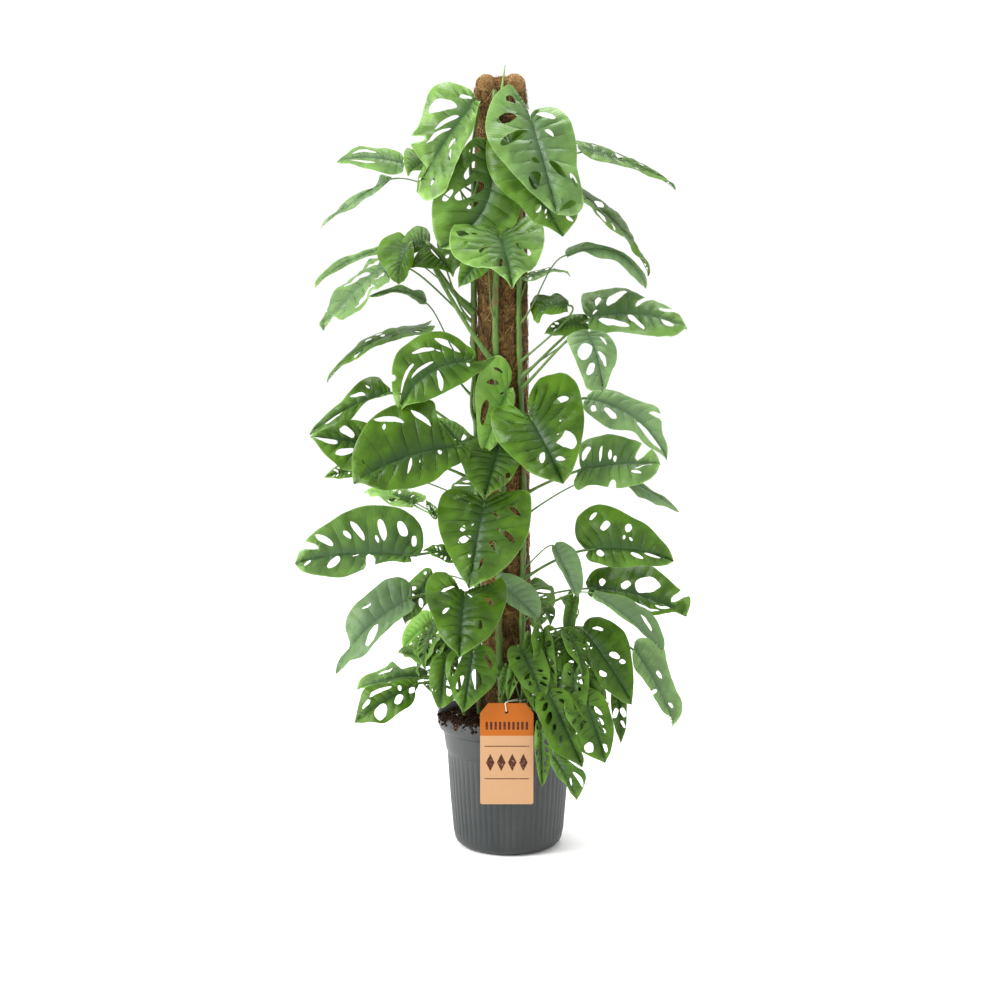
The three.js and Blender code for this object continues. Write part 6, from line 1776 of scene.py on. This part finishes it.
def cottonMaterial():
    material = newMaterial("twistedCotton")
    tree = material.node_tree
    place = addNode(tree, "TexCoord")
    fuzz = addNode(tree, "TexNoise", {"Vector": place.outputs["Object"], "Scale": 1500.0, "Detail": 3.0})
    colour = addNode(tree, "Mix", {0: fuzz, 6: cotton["shade"], 7: cotton["colour"]}, data_type="RGBA")
    relief = addNode(tree, "Bump", {"Height": fuzz, "Strength": 0.4, "Distance": 0.0004})
    shader = addNode(tree, "BsdfPrincipled", {
        "Base Color": colour, "Roughness": 0.9, "Specular IOR Level": 0.2, "Sheen Weight": 0.3,
        "Normal": relief})
    addNode(tree, "OutputMaterial", {"Surface": shader})
    return material


# the loop goes through the hole, up the front of the tag and round the shoot behind it
knot = min(shootLines["shoot_front"], key=lambda p: abs(p.z - cotton["knot"]))
rest, front, back, wide = cotton["rest"], cotton["front"], cotton["back"], cotton["round"]
corners = [
    (holeX, back, rest - 0.1), (holeX - 0.2, (front + back) / 2, rest - 0.3),
    (holeX - 0.6, front, rest + 0.2), (holeX - 1.2, front - 0.4, rest + 8),
    (holeX - 0.6, front + 0.4, rest + 17), (knot.x - wide, knot.y - 1, knot.z + 2),
    (knot.x - 1, knot.y + wide, knot.z + 3), (knot.x + wide, knot.y, knot.z + 3),
    (knot.x + 2, knot.y - wide - 4, knot.z + 1), (holeX + 3.2, back + 2, rest + 17),
    (holeX + 1, back + 0.3, rest + 7),
]
centre = smoothLine(corners, 26, closed=True)
stringLength = sum((centre[i] - centre[i - 1]).length for i in range(len(centre)))
turns = round(stringLength / cotton["twist"])
cottonMat = cottonMaterial()
plies = []
for ply in range(2):
    line = []
    for i, p in enumerate(centre):
        ahead = (centre[(i + 1) % len(centre)] - centre[i - 1]).normalized()
        side = ahead.cross(Vector((0.9, 0.3, 0.2))).normalized()
        turn = 2 * math.pi * (turns * i / len(centre) + ply / 2)
        line.append(p + (side * math.cos(turn) + ahead.cross(side) * math.sin(turn)) * cotton["apart"])
    plies.append(tube("ply", line, [cotton["ply"]] * len(line), cottonMat, 1, closed=True))
stringPiece = joinPieces(plies[0], plies[1:])
stringPiece.name = "tag_string_twisted"
placePiece(stringPiece, "cotton_string", "tag_string")
print("tag and string done, string loop", round(stringLength), "mm")

# Stake: a plain pine pole, sawn and turned. Straw coloured, with long grain, drawn 3 mm wide.
stakeWood = {"dark": "#8a6238", "light": "#c79f6a"}
wood = newMaterial("turnedPine")
tree = wood.node_tree
place = addNode(tree, "TexCoord")
longGrain = addNode(tree, "Mapping", {"Vector": place.outputs["Object"], "Scale": (1, 1, 0.04)})
grain = addNode(tree, "TexNoise", {"Vector": longGrain, "Scale": 300.0, "Detail": 5.0, "Roughness": 0.6})
shade = addNode(tree, "MapRange", {"Value": grain, 1: 0.35, 2: 0.65})
colour = addNode(tree, "Mix", {0: shade, 6: stakeWood["dark"], 7: stakeWood["light"]}, data_type="RGBA")
relief = addNode(tree, "Bump", {"Height": grain, "Strength": 0.3, "Distance": 0.0006})
shader = addNode(tree, "BsdfPrincipled", {"Base Color": colour, "Roughness": 0.7, "Normal": relief})
addNode(tree, "OutputMaterial", {"Surface": shader})
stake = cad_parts["stake"]
stake.data.materials.clear()
stake.data.materials.append(wood)

# a pale paper floor and soft studio light
stage = {
    "sky": 1.06, "floor": 80, "floorAt": (0, 20, -0.0005), "paper": "#fefefd", "tooth": "#fbfbfa",
    "aim": (0, 0, 0.75),
}
paper = newMaterial("matPaper")
tree = paper.node_tree
place = addNode(tree, "TexCoord")
tooth = addNode(tree, "TexNoise", {"Vector": place.outputs["Object"], "Scale": 40.0})
colour = addNode(tree, "Mix", {0: tooth, 6: stage["paper"], 7: stage["tooth"]}, data_type="RGBA")
shader = addNode(
    tree, "BsdfPrincipled", {"Base Color": colour, "Roughness": 0.9, "Specular IOR Level": 0.1})
addNode(tree, "OutputMaterial", {"Surface": shader})
bpy.ops.object.select_all(action="DESELECT")
bpy.ops.mesh.primitive_plane_add(size=stage["floor"], location=stage["floorAt"])
floor = bpy.context.object
floor.name = "floor"
floor.data.materials.append(paper)

world = bpy.data.worlds.new("studio")
world.use_nodes = True
sky = world.node_tree.nodes["Background"]
sky.inputs["Color"].default_value = (1, 1, 1, 1)
sky.inputs["Strength"].default_value = stage["sky"]
bpy.context.scene.world = world
lamps = {
    "keyLight": {"at": (-2.9, -1.8, 2.9), "size": 1.5, "watts": 150},
    "sideLight": {"at": (-3.4, -0.9, 0.9), "size": 1.2, "watts": 45},
    "fillLight": {"at": (2.6, -2.4, 1.6), "size": 2.6, "watts": 8},
    "topLight": {"at": (0.2, 0.6, 3.6), "size": 1.6, "watts": 80},
}
for name, lamp in lamps.items():
    data = bpy.data.lights.new(name, "AREA")
    data.shape = "DISK"
    data.size = lamp["size"]
    data.energy = lamp["watts"]
    light = bpy.data.objects.new(name, data)
    light.location = lamp["at"]
    towards = Vector(stage["aim"]) - Vector(lamp["at"])
    light.rotation_euler = towards.to_track_quat("-Z", "Y").to_euler()
    bpy.context.scene.collection.objects.link(light)
bpy.context.scene.view_settings.view_transform = "Standard"
